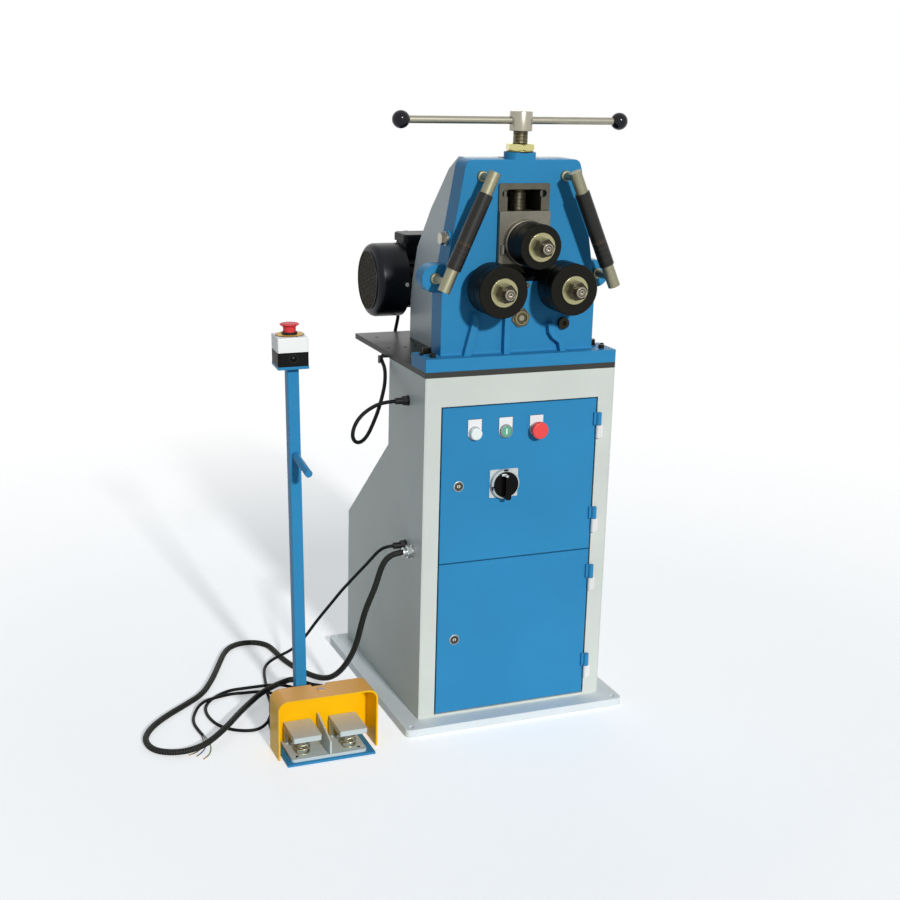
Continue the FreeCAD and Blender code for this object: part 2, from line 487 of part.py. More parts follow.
def stop_button():
    cap = rod(MUSHROOM_R, (STOP_X, -27, CONTROL_Z), (STOP_X, -16, CONTROL_Z))
    cap = cap.makeFillet(4.0, rim_edges(cap, "y", -27))
    return fuse(cap, rod(STEM_R, (STOP_X, -16, CONTROL_Z), (STOP_X, 16, CONTROL_Z)))


def electrical_panel():
    plate = box(-150, 150, 198, 200, 450, 735)
    posts = [rod(4, (x, 200, z), (x, CAB_UPPER_DEPTH - SHEET, z)) for x in (-135, 135) for z in (630, 720)]
    rails = [box(-130, 130, 192, 198, z - 17, z + 17) for z in (540, 660)]
    devices = [box(x, x + 45, 115, 192, 615, 705) for x in (-120, -70, -20)]
    devices += [box(x, x + 18, 125, 192, 618, 702) for x in (50, 70, 90)]
    devices += [box(-120 + 12 * i, -110 + 12 * i, 150, 192, 515, 565) for i in range(12)]
    transformer = box(45, 125, 130, 192, 480, 545)
    return [fuse(plate, *posts), *rails, *devices, transformer]


# ---- head ----

def top_plate():
    plate = box(-CAB_HALF, CAB_HALF, 0, PLATE_D, CAB_TOP, PLATE_TOP)
    spots = [(inset - CAB_HALF, y) for inset, y in PLATE_HOLES]
    holes = [rod(PLATE_HOLE_R, (x, y, CAB_TOP - 1), (x, y, PLATE_TOP + 1)) for x, y in spots]
    return cut(plate, *holes)


def head_outline():
    right = ((HEAD_HALF_LOW, FLANGE_TOP), (HEAD_HALF_LOW, HEAD_SHOULDER_Z),
             (HEAD_HALF_HIGH, HEAD_TOP - HEAD_BEVEL), (HEAD_HALF_HIGH - 5, HEAD_TOP))
    return right + tuple((-x, z) for x, z in reversed(right))


def head_ribs():
    base = FLANGE_TOP - 1
    slanted = ((-111.4, PLATE_TOP + 123.3), (-99.3, PLATE_TOP + 103.3), (-118.3, base), (-135.8, base))
    left, right = -40.0, RIB_T - 40.0
    upright = ((left, base), (left, PLATE_TOP + 116.0), (right, PLATE_TOP + 106.0), (right, base))
    edge = ((66.6, PLATE_TOP + 93.3), (68.9, PLATE_TOP + 73.3), (78.0, PLATE_TOP + 60.0),
            (95.0, PLATE_TOP + 47.0), (98.5, base))
    bent = edge + tuple((x + RIB_T, z) for x, z in reversed(edge))
    return [prism(line, "y", RIB_FRONT, HEAD_FACE + 1) for line in (slanted, upright, bent)]


def bolt_spots():
    # kind, distance inside the flange's end, depth and head radius
    spots = [("hex", 29.0, 70.0, 9.5), ("cap", 25.0, 24.0, 6.5), ("cap", 9.0, 52.0, 4.5)]
    return [(kind, sign * (CAB_HALF - inset), y, r) for kind, inset, y, r in spots for sign in (-1, 1)]


def head_casting():
    flange = box(-CAB_HALF, CAB_HALF, 0, HEAD_BACK, PLATE_TOP, FLANGE_TOP)
    flange = rounded(flange, 2.0, (1, 0, 0), lambda c: c.z > FLANGE_TOP - 0.1)
    upright = prism(head_outline(), "y", HEAD_FACE, HEAD_BACK)
    upright = rounded(upright, HEAD_CORNER, (0, 1, 0), lambda c: c.z > HEAD_TOP - 1)
    upright = rounded(upright, 3.0, (1, 0, 0), lambda c: c.z > HEAD_TOP - 1 and c.y < HEAD_FACE + 1)
    body = fuse(flange, upright)
    body = rounded(body, 5.0, (1, 0, 0), lambda c: abs(c.z - FLANGE_TOP) < 0.1 and 30 < c.y < 40)
    for sign in (-1, 1):
        lobe = rod(EAR_R, (sign * EAR_X, EAR_FRONT, EAR_Z), (sign * EAR_X, EAR_BACK, EAR_Z))
        x0, x1 = sorted((sign * (HEAD_HALF_LOW - 25), sign * EAR_X))
        web = box(x0, x1, EAR_FRONT, EAR_BACK, EAR_Z - EAR_R, EAR_Z + EAR_R)
        boss_x = sign * LOWER_X
        boss = rod(LOWER_BOSS_R, (boss_x, ROLL_BACK + 2, LOWER_Z), (boss_x, HEAD_FACE, LOWER_Z))
        body = fuse(body, lobe, web, boss)
    top_boss = rod(BOSS_R, (0, SCREW_Y, HEAD_TOP - 20), (0, SCREW_Y, BOSS_TOP))
    top_boss = top_boss.common(box(-BOSS_R, BOSS_R, HEAD_FACE, HEAD_BACK, HEAD_TOP - 20, BOSS_TOP))
    side = -head_half_width(SIDE_BOLT[1])
    spot = rod(17, (side - 2.5, *SIDE_BOLT), (side + 10, *SIDE_BOLT))
    body = fuse(body, top_boss, spot, *head_ribs())
    window = box(-WINDOW_HALF, WINDOW_HALF, HEAD_FACE - 1, HEAD_BACK + 1, WINDOW_LOW, WINDOW_HIGH)
    window = rounded(window, 8.0, (0, 1, 0))
    tools = [window, rod(SCREW_R + RUNNING_FIT, (0, SCREW_Y, WINDOW_HIGH - 1), (0, SCREW_Y, BOSS_TOP + 1))]
    for sign in (-1, 1):
        x = sign * LOWER_X
        tools.append(rod(SHOULDER_R + FREE_GAP, (x, -1, LOWER_Z), (x, HEAD_FACE + 3, LOWER_Z)))
        tools.append(rod(BEARING_R + SEAT_FIT, (x, HEAD_FACE + 2, LOWER_Z), (x, HEAD_BACK + 1, LOWER_Z)))
        for (stud_x, stud_z), y in ((STUD_TOP, HEAD_FACE), (STUD_BOTTOM, EAR_FRONT)):
            ends = (sign * stud_x, y - 1, stud_z), (sign * stud_x, y + STUD_DEPTH + 2, stud_z)
            tools.append(rod(STUD_R + SEAT_FIT, *ends))
    idler_z = idler_height()
    tools.append(rod(IDLER_AXLE_R + SEAT_FIT, (0, HEAD_FACE + 25, idler_z), (0, HEAD_BACK + 1, idler_z)))
    bolt_end = 28 - HEAD_HALF_HIGH
    tools.append(rod(SIDE_BOLT_R + SEAT_FIT, (-HEAD_HALF_LOW, *SIDE_BOLT), (bolt_end, *SIDE_BOLT)))
    tools.append(drilling(LENS_R, GLASS_X, GLASS_Z, 8))
    tools.append(drilling(PLUG_TAIL_R, PLUG_X, PLUG_Z, 12))
    tools.append(drilling(NIPPLE_TAIL_R, NIPPLE_X, NIPPLE_Z, 8))
    for kind, x, y, radius in bolt_spots():
        tools.append(rod(SHANK_SHARE * radius + SEAT_FIT, (x, y, PLATE_TOP - 1), (x, y, FLANGE_TOP + 1)))
    return cut(body, *tools)


def drilling(radius, x, z, depth):
    return rod(radius + SEAT_FIT, (x, HEAD_FACE - 1, z), (x, HEAD_FACE + depth, z))


def idler_height():
    centre = GEAR_MODULE * (GEAR_TEETH + IDLER_TEETH) / 2.0
    return LOWER_Z - math.sqrt(centre * centre - LOWER_X * LOWER_X)


def fixing_bolts():
    solids = [flange_bolt(*spot) for spot in bolt_spots()]
    seat_x = -head_half_width(SIDE_BOLT[1]) - 2.5
    washer = rod(15, (seat_x - 4, *SIDE_BOLT), (seat_x, *SIDE_BOLT))
    head = bevelled_hexagon(24, "x", SIDE_BOLT, seat_x - 16, seat_x - 4, 30.0)
    tail = rod(SIDE_BOLT_R, (seat_x - 4, *SIDE_BOLT), (26 - HEAD_HALF_HIGH, *SIDE_BOLT))
    solids.append(fuse(washer, head, tail))
    bore = rod(SCREW_R + RUNNING_FIT, (0, SCREW_Y, BOSS_TOP - 1), (0, SCREW_Y, BOSS_TOP + 40))
    nut_low = BOSS_TOP + LOCK_WASHER_H
    nut = bevelled_hexagon(LOCK_NUT_AF, "z", (0, SCREW_Y), nut_low, nut_low + LOCK_NUT_H, 20.0)
    seat = rod(30, (0, SCREW_Y, BOSS_TOP), (0, SCREW_Y, nut_low))
    solids.append(cut(fuse(nut, seat), bore))
    face = MOTOR_Y - COWL_R
    solids.append(rod(5, (COWL_START - 10, face - 3, MOTOR_Z), (COWL_START - 10, face, MOTOR_Z)))
    return solids


def flange_bolt(kind, x, y, radius):
    shank = rod(SHANK_SHARE * radius, (x, y, PLATE_TOP + 2), (x, y, FLANGE_TOP))
    if kind == "hex":
        washer = rod(radius * 1.35, (x, y, FLANGE_TOP), (x, y, FLANGE_TOP + 2))
        head = bevelled_hexagon(2 * radius, "z", (x, y), FLANGE_TOP + 2, FLANGE_TOP + 13, 15.0)
        return fuse(shank, washer, head)
    head = rod(radius, (x, y, FLANGE_TOP), (x, y, FLANGE_TOP + 1.3 * radius))
    socket = hexagon(radius, "z", (x, y), FLANGE_TOP + 0.6 * radius, FLANGE_TOP + 2 * radius)
    return cut(fuse(shank, head), socket)


def head_half_width(z):
    share = (z - HEAD_SHOULDER_Z) / (HEAD_TOP - HEAD_BEVEL - HEAD_SHOULDER_Z)
    return HEAD_HALF_LOW + (HEAD_HALF_HIGH - HEAD_HALF_LOW) * share


def guide_frame():
    plate = box(-GUIDE_OUTER, GUIDE_OUTER, GUIDE_FACE, HEAD_FACE, GUIDE_LOW, GUIDE_TOP)
    plate = rounded(plate, 4.0, (0, 1, 0), lambda c: c.z > GUIDE_TOP - 1)
    half = WINDOW_HALF - SEAT_FIT
    lining = box(-half, half, HEAD_FACE, HEAD_BACK, GUIDE_LOW, WINDOW_HIGH - SEAT_FIT)
    lining = rounded(lining, 8.0, (0, 1, 0), lambda c: c.z > WINDOW_HIGH - 1)
    slot = box(-GUIDE_INNER, GUIDE_INNER, GUIDE_FACE - 1, HEAD_BACK + 1, GUIDE_LOW - 1, GUIDE_INNER_TOP)
    spots = (-GUIDE_INNER - 5, GUIDE_INNER + 5)
    reliefs = [rod(RELIEF_R, (x, GUIDE_FACE - 1, RELIEF_Z), (x, HEAD_FACE, RELIEF_Z)) for x in spots]
    passage = rod(SCREW_R + FREE_GAP, (0, SCREW_Y, GUIDE_INNER_TOP - 1), (0, SCREW_Y, GUIDE_TOP + 1))
    return cut(fuse(plate, lining), slot, passage, *reliefs)


def bearing(x, front, z):
    return tube(BEARING_R, SPINDLE_R + RUNNING_FIT, (x, front, z), (x, front + BEARING_W, z))


def lower_bearings():
    rows = (HEAD_FACE + 2, HEAD_BACK - BEARING_W - 2)
    solids = [bearing(sign * LOWER_X, y, LOWER_Z) for sign in (-1, 1) for y in rows]
    z, gear_back = idler_height(), GEAR_FRONT + GEAR_W
    axle = fuse(rod(IDLER_AXLE_R, (0, HEAD_FACE + 26, z), (0, gear_back + 1, z)),
                rod(17, (0, HEAD_BACK, z), (0, GEAR_FRONT - 1, z)),
                rod(18, (0, gear_back + 1, z), (0, gear_back + 5, z)))
    return solids + [axle]


def slide_block():
    half, sliding = GUIDE_INNER - RUNNING_FIT, HEAD_BACK + 0.1
    body = box(-half, half, BLOCK_FRONT, sliding, BLOCK_LOW, BLOCK_HIGH)
    flange_back = GUIDE_FACE - RUNNING_FIT
    flange = box(-GUIDE_OUTER, GUIDE_OUTER, BLOCK_FRONT, flange_back, BLOCK_LOW, BLOCK_HIGH + 3)
    keeper_half = WINDOW_HALF + 6
    keeper = box(-keeper_half, keeper_half, sliding, HEAD_BACK + 5, BLOCK_LOW + 8, BLOCK_HIGH - 8)
    boss = rod(BLOCK_BOSS_R, (0, BLOCK_BOSS_FACE, UPPER_Z), (0, BLOCK_FRONT, UPPER_Z))
    boss = boss.makeFillet(3.0, rim_edges(boss, "y", BLOCK_BOSS_FACE))
    pin_x, pin_z = LOCATING_PIN
    pin = rod(5, (pin_x, BLOCK_FRONT - 3, pin_z - 10), (pin_x, BLOCK_FRONT - 3, pin_z + 10))
    block = fuse(body, flange, keeper, boss, pin)
    throat = rod(SHOULDER_R + FREE_GAP, (0, 0, UPPER_Z), (0, BLOCK_FRONT + 2, UPPER_Z))
    bore = rod(BEARING_R + SEAT_FIT, (0, BLOCK_FRONT + 2, UPPER_Z), (0, HEAD_BACK + 6, UPPER_Z))
    socket = rod(SCREW_TIP_R + RUNNING_FIT, (0, SCREW_Y, BLOCK_HIGH - 22), (0, SCREW_Y, BLOCK_HIGH + 10))
    rings = [bearing(0, y, UPPER_Z) for y in (BLOCK_FRONT + 2, HEAD_BACK - BEARING_W - 2)]
    return [cut(block, throat, bore, socket), *rings]


def lead_screw():
    thread = rod(SCREW_R, (0, SCREW_Y, BLOCK_HIGH), (0, SCREW_Y, HUB_LOW + 5))
    pin = rod(SCREW_TIP_R, (0, SCREW_Y, BLOCK_HIGH - 21), (0, SCREW_Y, BLOCK_HIGH))
    hub = rod(HUB_R, (0, SCREW_Y, HUB_LOW), (0, SCREW_Y, HUB_HIGH))
    hub = hub.makeFillet(3.0, rim_edges(hub, "z", HUB_HIGH))
    bore = rod(BAR_R + RUNNING_FIT, (-40, SCREW_Y, BAR_Z), (40, SCREW_Y, BAR_Z))
    return cut(fuse(thread, pin, hub), bore)


def cross_bar():
    return rod(BAR_R, (BAR_LEFT + 6, SCREW_Y, BAR_Z), (BAR_RIGHT - 6, SCREW_Y, BAR_Z))


def ball_knobs():
    solids = []
    for x, inner in ((BAR_LEFT, 1), (BAR_RIGHT, -1)):
        ball = Part.makeSphere(BALL_R, vec(x, SCREW_Y, BAR_Z), vec(1, 0, 0))
        ends = (x - inner * 7, SCREW_Y, BAR_Z), (x + inner * 25, SCREW_Y, BAR_Z)
        solids.append(ball.cut(rod(BAR_R + SEAT_FIT, *ends)))
    return solids


# ---- rolls and drive ----

def spindle(x, z, throat_y, end_y):
    shaft = rod(SPINDLE_R, (x, ROLL_FRONT, z), (x, end_y, z))
    shoulder = rod(SHOULDER_R, (x, ROLL_BACK, z), (x, throat_y, z))
    thread = rod(THREAD_R, (x, SPINDLE_TIP, z), (x, ROLL_FRONT, z))
    thread = thread.makeChamfer(1.5, rim_edges(thread, "y", SPINDLE_TIP))
    centre = rod(3, (x, SPINDLE_TIP - 1, z), (x, SPINDLE_TIP + 5, z))
    shaft = cut(fuse(shaft, shoulder, thread), centre)
    bore = rod(THREAD_R + SEAT_FIT, (x, SPINDLE_TIP, z), (x, ROLL_FRONT, z))
    seat = ROLL_FRONT - WASHER_T
    washer = rod(WASHER_R, (x, seat, z), (x, ROLL_FRONT, z))
    washer = washer.makeChamfer(1.0, rim_edges(washer, "y", seat))
    nut = bevelled_hexagon(NUT_AF, "y", (x, z), seat - NUT_T, seat, 10.0)
    return [shaft, washer.cut(bore), nut.cut(bore)]


def rolls(x, z, radius, front_width):
    solids = []
    for low, high in ((ROLL_FRONT, ROLL_FRONT + front_width), (ROLL_FRONT + front_width, ROLL_BACK)):
        ring = rod(radius, (x, low, z), (x, high, z))
        ring = ring.makeChamfer(RING_CHAMFER, rim_edges(ring, "y", low) + rim_edges(ring, "y", high))
        solids.append(ring.cut(rod(SPINDLE_R + SEAT_FIT, (x, low - 1, z), (x, high + 1, z))))
    return solids


def spindle_gear(sign):
    # the idler carries a tooth on its +X side, so each spindle gear starts half a pitch off it
    z = idler_height()
    line = math.atan2(LOWER_Z - z, sign * LOWER_X)
    idler_pitch, pitch = 2 * math.pi / IDLER_TEETH, 2 * math.pi / GEAR_TEETH
    offset = round(line / idler_pitch) * idler_pitch - line
    tooth = line + math.pi - offset * IDLER_TEETH / GEAR_TEETH + pitch / 2
    return involute_gear(GEAR_TEETH, sign * LOWER_X, LOWER_Z, tooth, SPINDLE_R + SEAT_FIT)


def idler_gear():
    z = idler_height()
    gear = involute_gear(IDLER_TEETH, 0.0, z, 0.0, IDLER_AXLE_R + RUNNING_FIT)
    holes = []
    for i in range(6):
        a = math.radians(60 * i)
        x, hole_z = 33 * math.cos(a), z + 33 * math.sin(a)
        holes.append(rod(9, (x, GEAR_FRONT - 1, hole_z), (x, GEAR_FRONT + GEAR_W + 1, hole_z)))
    return cut(gear, *holes)


def gear_cover():
    shell = folded(COVER_PROFILE, "x", -COVER_HALF, COVER_HALF, -COVER_T)
    side = prism(COVER_PROFILE + ((HEAD_BACK, PLATE_TOP),), "x", COVER_HALF - COVER_T, COVER_HALF)
    cover = fuse(shell, side, mirrored(side))
    return cover.cut(rod(SPINDLE_R + 8, (LOWER_X, 300, LOWER_Z), (LOWER_X, 420, LOWER_Z)))


def worm_reducer():
    x, low = LOWER_X, MOTOR_Z - 60.5
    housing = box(x - 55, x + 55, MOTOR_Y - 43, MOTOR_Y + 43, low, MOTOR_Z + 111.5)
    housing = rounded(housing, 18.0, (0, 1, 0))
    hubs = rod(40, (x, MOTOR_Y - 51, LOWER_Z), (x, MOTOR_Y + 51, LOWER_Z))
    worm_case = rod(40, (FRAME_RIGHT + 12, MOTOR_Y, MOTOR_Z), (x + 66, MOTOR_Y, MOTOR_Z))
    flange = rod(66, (FRAME_RIGHT, MOTOR_Y, MOTOR_Z), (FRAME_RIGHT + 12, MOTOR_Y, MOTOR_Z))
    case = fuse(housing, hubs, worm_case, flange)
    case = case.cut(rod(SPINDLE_R + RUNNING_FIT, (x, 400, LOWER_Z), (x, 540, LOWER_Z)))
    foot = box(x - 50, x + 50, 415, PLATE_D, PLATE_TOP, PLATE_TOP + 10)
    legs = [box(x + dx - 5, x + dx + 5, 440, 476, PLATE_TOP + 10, low) for dx in (-40, 40)]
    return [case, fuse(foot, *legs)]


def motor_frame():
    axis = (MOTOR_Y, MOTOR_Z)
    barrel = rod(FRAME_R, (FRAME_LEFT, *axis), (FRAME_RIGHT, *axis))
    fins = []
    for i in range(FIN_COUNT):
        fin = box(FRAME_LEFT + 6, FRAME_RIGHT - 14, MOTOR_Y - 1.5, MOTOR_Y + 1.5, MOTOR_Z, MOTOR_Z + FIN_R)
        fin.rotate(vec(0, *axis), vec(1, 0, 0), 360.0 * (i + 0.5) / FIN_COUNT)
        fins.append(fin)
    collar = rod(FIN_R, (FRAME_RIGHT - 14, *axis), (FRAME_RIGHT, *axis))
    pad = box(-112, -40, 452, 512, MOTOR_Z + 40, TERMINAL_LOW)
    frame = fuse(barrel, collar, pad, *fins)
    bore = rod(MOTOR_SHAFT_R + RUNNING_FIT, (FRAME_LEFT - 1, *axis), (FRAME_LEFT + 20, *axis))
    return [frame.cut(bore), terminal_box()]


def terminal_box():
    case = box(TERMINAL_LEFT, TERMINAL_RIGHT, TERMINAL_FRONT, TERMINAL_BACK, TERMINAL_LOW, TERMINAL_HIGH)
    case = rounded(case, TERMINAL_CORNER, (0, 0, 1))
    top = [edge for edge in case.Edges if edge.CenterOfMass.z > TERMINAL_HIGH - 0.1]
    case = case.makeFillet(5.0, top)
    x, z = TERMINAL_GLAND_X, TERMINAL_GLAND_Z
    nut = bevelled_hexagon(19, "y", (x, z), TERMINAL_BACK, TERMINAL_BACK + 7)
    return fuse(case, nut, rod(7.5, (x, TERMINAL_BACK, z), (x, TERMINAL_BACK + TERMINAL_REACH, z)))


def motor_cowl():
    axis = (MOTOR_Y, MOTOR_Z)
    end = COWL_END + 3
    barrel = rod(COWL_R, (end, *axis), (COWL_START, *axis))
    barrel = barrel.makeFillet(COWL_ROUND, rim_edges(barrel, "x", end))
    hollow = rod(COWL_R - COWL_T, (end + COWL_T, *axis), (COWL_START + 1, *axis))
    hollow = hollow.makeFillet(COWL_ROUND - COWL_T, rim_edges(hollow, "x", end + COWL_T))
    mouth = rod(GRILLE_R, (COWL_END, *axis), (COWL_END + 10, *axis))
    rim = tube(GRILLE_R + 2, GRILLE_R, (COWL_END, *axis), (COWL_END + 4, *axis))
    shell = fuse(cut(barrel, hollow, mouth), rim)
    bars = []
    count = int(GRILLE_R / GRILLE_PITCH)
    for i in range(-count, count + 1):
        middle, reach = MOTOR_Y + i * GRILLE_PITCH, math.sqrt((GRILLE_R + 1) ** 2 - (i * GRILLE_PITCH) ** 2)
        for angle in (45, 135):
            bar = box(COWL_END, COWL_END + 2, middle - GRILLE_BAR / 2, middle + GRILLE_BAR / 2,
                      MOTOR_Z - reach, MOTOR_Z + reach)
            bar.rotate(vec(0, *axis), vec(1, 0, 0), angle)
            bars.append(bar)
    disc = rod(GRILLE_R + 1, (COWL_END, *axis), (COWL_END + 2, *axis))
    return fuse(shell, fuse(*bars).common(disc), cowl_seat(axis))


def cowl_seat(axis):
    # inner lip that sits on the motor's end and holds the cowl
    lip = tube(COWL_R - 1, FRAME_R + 1, (FRAME_LEFT - 8, *axis), (FRAME_LEFT - 5, *axis))
    stays = []
    for i in range(4):
        low, high = MOTOR_Z + 50, MOTOR_Z + FRAME_R + 4
        stay = box(FRAME_LEFT - 8, FRAME_LEFT, MOTOR_Y - 8, MOTOR_Y + 8, low, high)
        stay.rotate(vec(0, *axis), vec(1, 0, 0), 45 + 90 * i)
        stays.append(stay)
    return fuse(lip, *stays)


def motor_fan():
    axis = (MOTOR_Y, MOTOR_Z)
    hub = rod(20, (-172, *axis), (-148, *axis))
    shaft = rod(MOTOR_SHAFT_R, (-180, *axis), (FRAME_LEFT + 18, *axis))
    blades = []
    for i in range(8):
        blade = box(-170, -150, MOTOR_Y - 1.5, MOTOR_Y + 1.5, MOTOR_Z + 10, MOTOR_Z + FAN_R)
        blade.rotate(vec(0, *axis), vec(1, 0, 0), 45.0 * i)
        blades.append(blade)
    return fuse(hub, shaft, *blades)


# ---- side guide rollers ----

def rod_point(distance, sign):
    dx, dz = ROD_BOTTOM[0] - ROD_TOP[0], ROD_BOTTOM[1] - ROD_TOP[1]
    length = math.hypot(dx, dz)
    return (sign * (ROD_TOP[0] + dx * distance / length), ROD_Y, ROD_TOP[1] + dz * distance / length)


def guide_rods():
    solids = []
    length = math.hypot(ROD_BOTTOM[0] - ROD_TOP[0], ROD_BOTTOM[1] - ROD_TOP[1])
    for sign in (-1, 1):
        ends = fuse(rod(ROD_R, rod_point(0, sign), rod_point(SLEEVE_START, sign)),
                    rod(ROD_CORE_R, rod_point(0, sign), rod_point(length, sign)),
                    rod(ROD_R, rod_point(SLEEVE_END, sign), rod_point(length, sign)))
        studs = []
        for (stud_x, z), face in ((STUD_TOP, HEAD_FACE), (STUD_BOTTOM, EAR_FRONT)):
            x = sign * stud_x
            studs.append(rod(STUD_R, (x, ROD_Y + 5, z), (x, face + STUD_DEPTH, z)))
            collar = rod(STUD_HEAD_R, (x, face - 8, z), (x, face, z))
            studs.append(collar.makeFillet(3.0, rim_edges(collar, "y", face - 8)))
        solids.append(fuse(ends, *studs))
    return solids


def sleeve(sign):
    parts = []
    for low, high in ((SLEEVE_START + 0.2, SLEEVE_JOINT - 0.2), (SLEEVE_JOINT + 0.2, SLEEVE_END - 0.2)):
        parts.append(tube(SLEEVE_R, ROD_CORE_R + RUNNING_FIT, rod_point(low, sign), rod_point(high, sign)))
    return parts


def oil_fittings():
    face = HEAD_FACE
    bead = bevelled_hexagon(2 * GLASS_R, "y", (GLASS_X, GLASS_Z), face - 5, face, 12.0)
    ring = rod(GLASS_R - 2, (GLASS_X, face - 9, GLASS_Z), (GLASS_X, face - 5, GLASS_Z))
    ring = ring.makeChamfer(1.5, rim_edges(ring, "y", face - 9))
    eye = rod(LENS_R - 3, (GLASS_X, face - 10, GLASS_Z), (GLASS_X, face - 7, GLASS_Z))
    tail = rod(LENS_R, (GLASS_X, face, GLASS_Z), (GLASS_X, face + 7, GLASS_Z))
    plug = fuse(rod(13, (PLUG_X, face - 9, PLUG_Z), (PLUG_X, face, PLUG_Z)),
                rod(PLUG_TAIL_R, (PLUG_X, face, PLUG_Z), (PLUG_X, face + 11, PLUG_Z)))
    plug = plug.cut(hexagon(10, "y", (PLUG_X, PLUG_Z), face - 10, face - 3))
    nipple = fuse(rod(6, (NIPPLE_X, face - 8, NIPPLE_Z), (NIPPLE_X, face, NIPPLE_Z)),
                  rod(NIPPLE_TAIL_R, (NIPPLE_X, face, NIPPLE_Z), (NIPPLE_X, face + 7, NIPPLE_Z)),
                  Part.makeSphere(4, vec(NIPPLE_X, face - 9, NIPPLE_Z)))
    return [fuse(bead, cut(ring, eye), tail), plug, nipple]


# ---- pedestal and foot switch ----

def leaned(shape):
    shape.rotate(vec(POST_X, 0, 0), vec(0, 1, 0), -LEAN)
    return shape


def on_post(shape):
    shape.rotate(vec(BOX_X, BOX_Y, 0), vec(0, 0, 1), BOX_TURN)
    return leaned(shape)


def control_box(low, high, wall=0.0):
    x, y = BOX_W / 2 - wall, BOX_D / 2 - wall
    return box(BOX_X - x, BOX_X + x, BOX_Y - y, BOX_Y + y, low, high)


def pedestal_stand():
    plate = prism(FLOOR_PLATE, "z", 0, FLOOR_PLATE_T)
    half, back = POST_W / 2, POST_FRONT + POST_W
    post = box(POST_X - half, POST_X + half, POST_FRONT, back, 1, POST_TOP)
    post = fuse(rounded(post, 2.0, (0, 0, 1)), rod(PEG_R, PEG_START, PEG_END))
    return fuse(plate, leaned(post), on_post(control_box(POST_TOP - 0.5, BOX_LOW)))


def estop_box_base():
    shell = rounded(control_box(BOX_LOW, BOX_SPLIT), 4.0, (0, 0, 1))
    hollow = control_box(BOX_LOW + BOX_WALL, BOX_SPLIT + 1, BOX_WALL)
    front = BOX_Y - BOX_D / 2
    knockout = rod(8, (KNOCKOUT_X, front - 1.5, KNOCKOUT_Z), (KNOCKOUT_X, front + 1, KNOCKOUT_Z))
    contacts = box(BOX_X - 12, BOX_X + 12, BOX_Y - 18, BOX_Y + 18, BOX_LOW + BOX_WALL, BOX_LOW + 26)
    return on_post(fuse(shell.cut(hollow), knockout, contacts))


def estop_rod(radius, low, high):
    return rod(radius, (BOX_X, BOX_Y, low), (BOX_X, BOX_Y, high))


def estop_box_lid():
    shell = rounded(control_box(BOX_SPLIT, BOX_HIGH), 4.0, (0, 0, 1))
    shell = shell.makeFillet(2.5, [edge for edge in shell.Edges if edge.CenterOfMass.z > BOX_HIGH - 0.1])
    lid = shell.cut(control_box(BOX_SPLIT - 1, BOX_HIGH - BOX_WALL, BOX_WALL))
    plate = estop_rod(RING_PLATE_R, BOX_HIGH, BOX_HIGH + 2)
    collar = estop_rod(COLLAR_R, BOX_HIGH - BOX_WALL, COLLAR_TOP)
    barrel = estop_rod(ESTOP_STEM_R + 4, BOX_LOW + 32, BOX_HIGH)
    bore = estop_rod(ESTOP_STEM_R + RUNNING_FIT, BOX_LOW, COLLAR_TOP + 1)
    recess = estop_rod(ESTOP_NECK_R + FREE_GAP, COLLAR_FLOOR, COLLAR_TOP + 1)
    return on_post(cut(fuse(lid, plate, collar, barrel), bore, recess))


def estop_button():
    stem = estop_rod(ESTOP_STEM_R, BOX_LOW + 36, COLLAR_TOP)
    neck = estop_rod(ESTOP_NECK_R, COLLAR_TOP - 1, ESTOP_FACE - 5)
    cap = estop_rod(ESTOP_CAP_R, ESTOP_FACE - 8.5, ESTOP_FACE)
    cap = cap.makeFillet(3.0, rim_edges(cap, "z", ESTOP_FACE))
    return on_post(fuse(stem, neck, cap))


def pedal_base():
    plate = rounded(box(FOOT_LEFT, FOOT_RIGHT, FOOT_FRONT, FOOT_BACK, FOOT_LOW, FOOT_HIGH), 8.0, (0, 0, 1))
    divider_line = ((FOOT_FRONT, FOOT_HIGH), (-93, 17), (-93, 45.6), (4, 70), (4, FOOT_HIGH))
    plate = fuse(plate, prism(divider_line, "x", DIVIDER_X, DIVIDER_X + DIVIDER_T))
    y, z = PEDAL_PIVOT_Y, PEDAL_PIVOT_Z
    pins = []
    for x in (LEFT_PEDAL_X, RIGHT_PEDAL_X):
        ends = (x - PIN_END, y, z), (x + PIN_END, y, z)
        for sign in (-1, 1):
            a, b = sorted((x + sign * LUG_INNER, x + sign * LUG_OUTER))
            lug = fuse(rod(LUG_R, (a, y, z), (b, y, z)), box(a, b, y - LUG_R, y + LUG_R, FOOT_LOW, z))
            plate = fuse(plate, lug)
        plate = plate.cut(rod(PEDAL_PIN_R + SEAT_FIT, *ends))
        pins.append(rod(PEDAL_PIN_R, *ends))
    gland_x, gland_y, gland_z = CONDUIT_ROUTE[-1]
    housing = box(gland_x - 30, gland_x + 30, GUARD_REAR + FREE_GAP, FOOT_BACK - 2, FOOT_HIGH, 48)
    gland = fuse(rod(12, (gland_x, FOOT_BACK - 2, gland_z), (gland_x, FOOT_BACK + 5, gland_z)),
                 rod(10, (gland_x, FOOT_BACK + 5, gland_z), (gland_x, gland_y, gland_z)))
    holes = [rod(3.5, (x, -73, 0), (x, -73, 20)) for x in (-543, -389)]
    return [cut(fuse(plate, housing, gland), *holes), *pins]


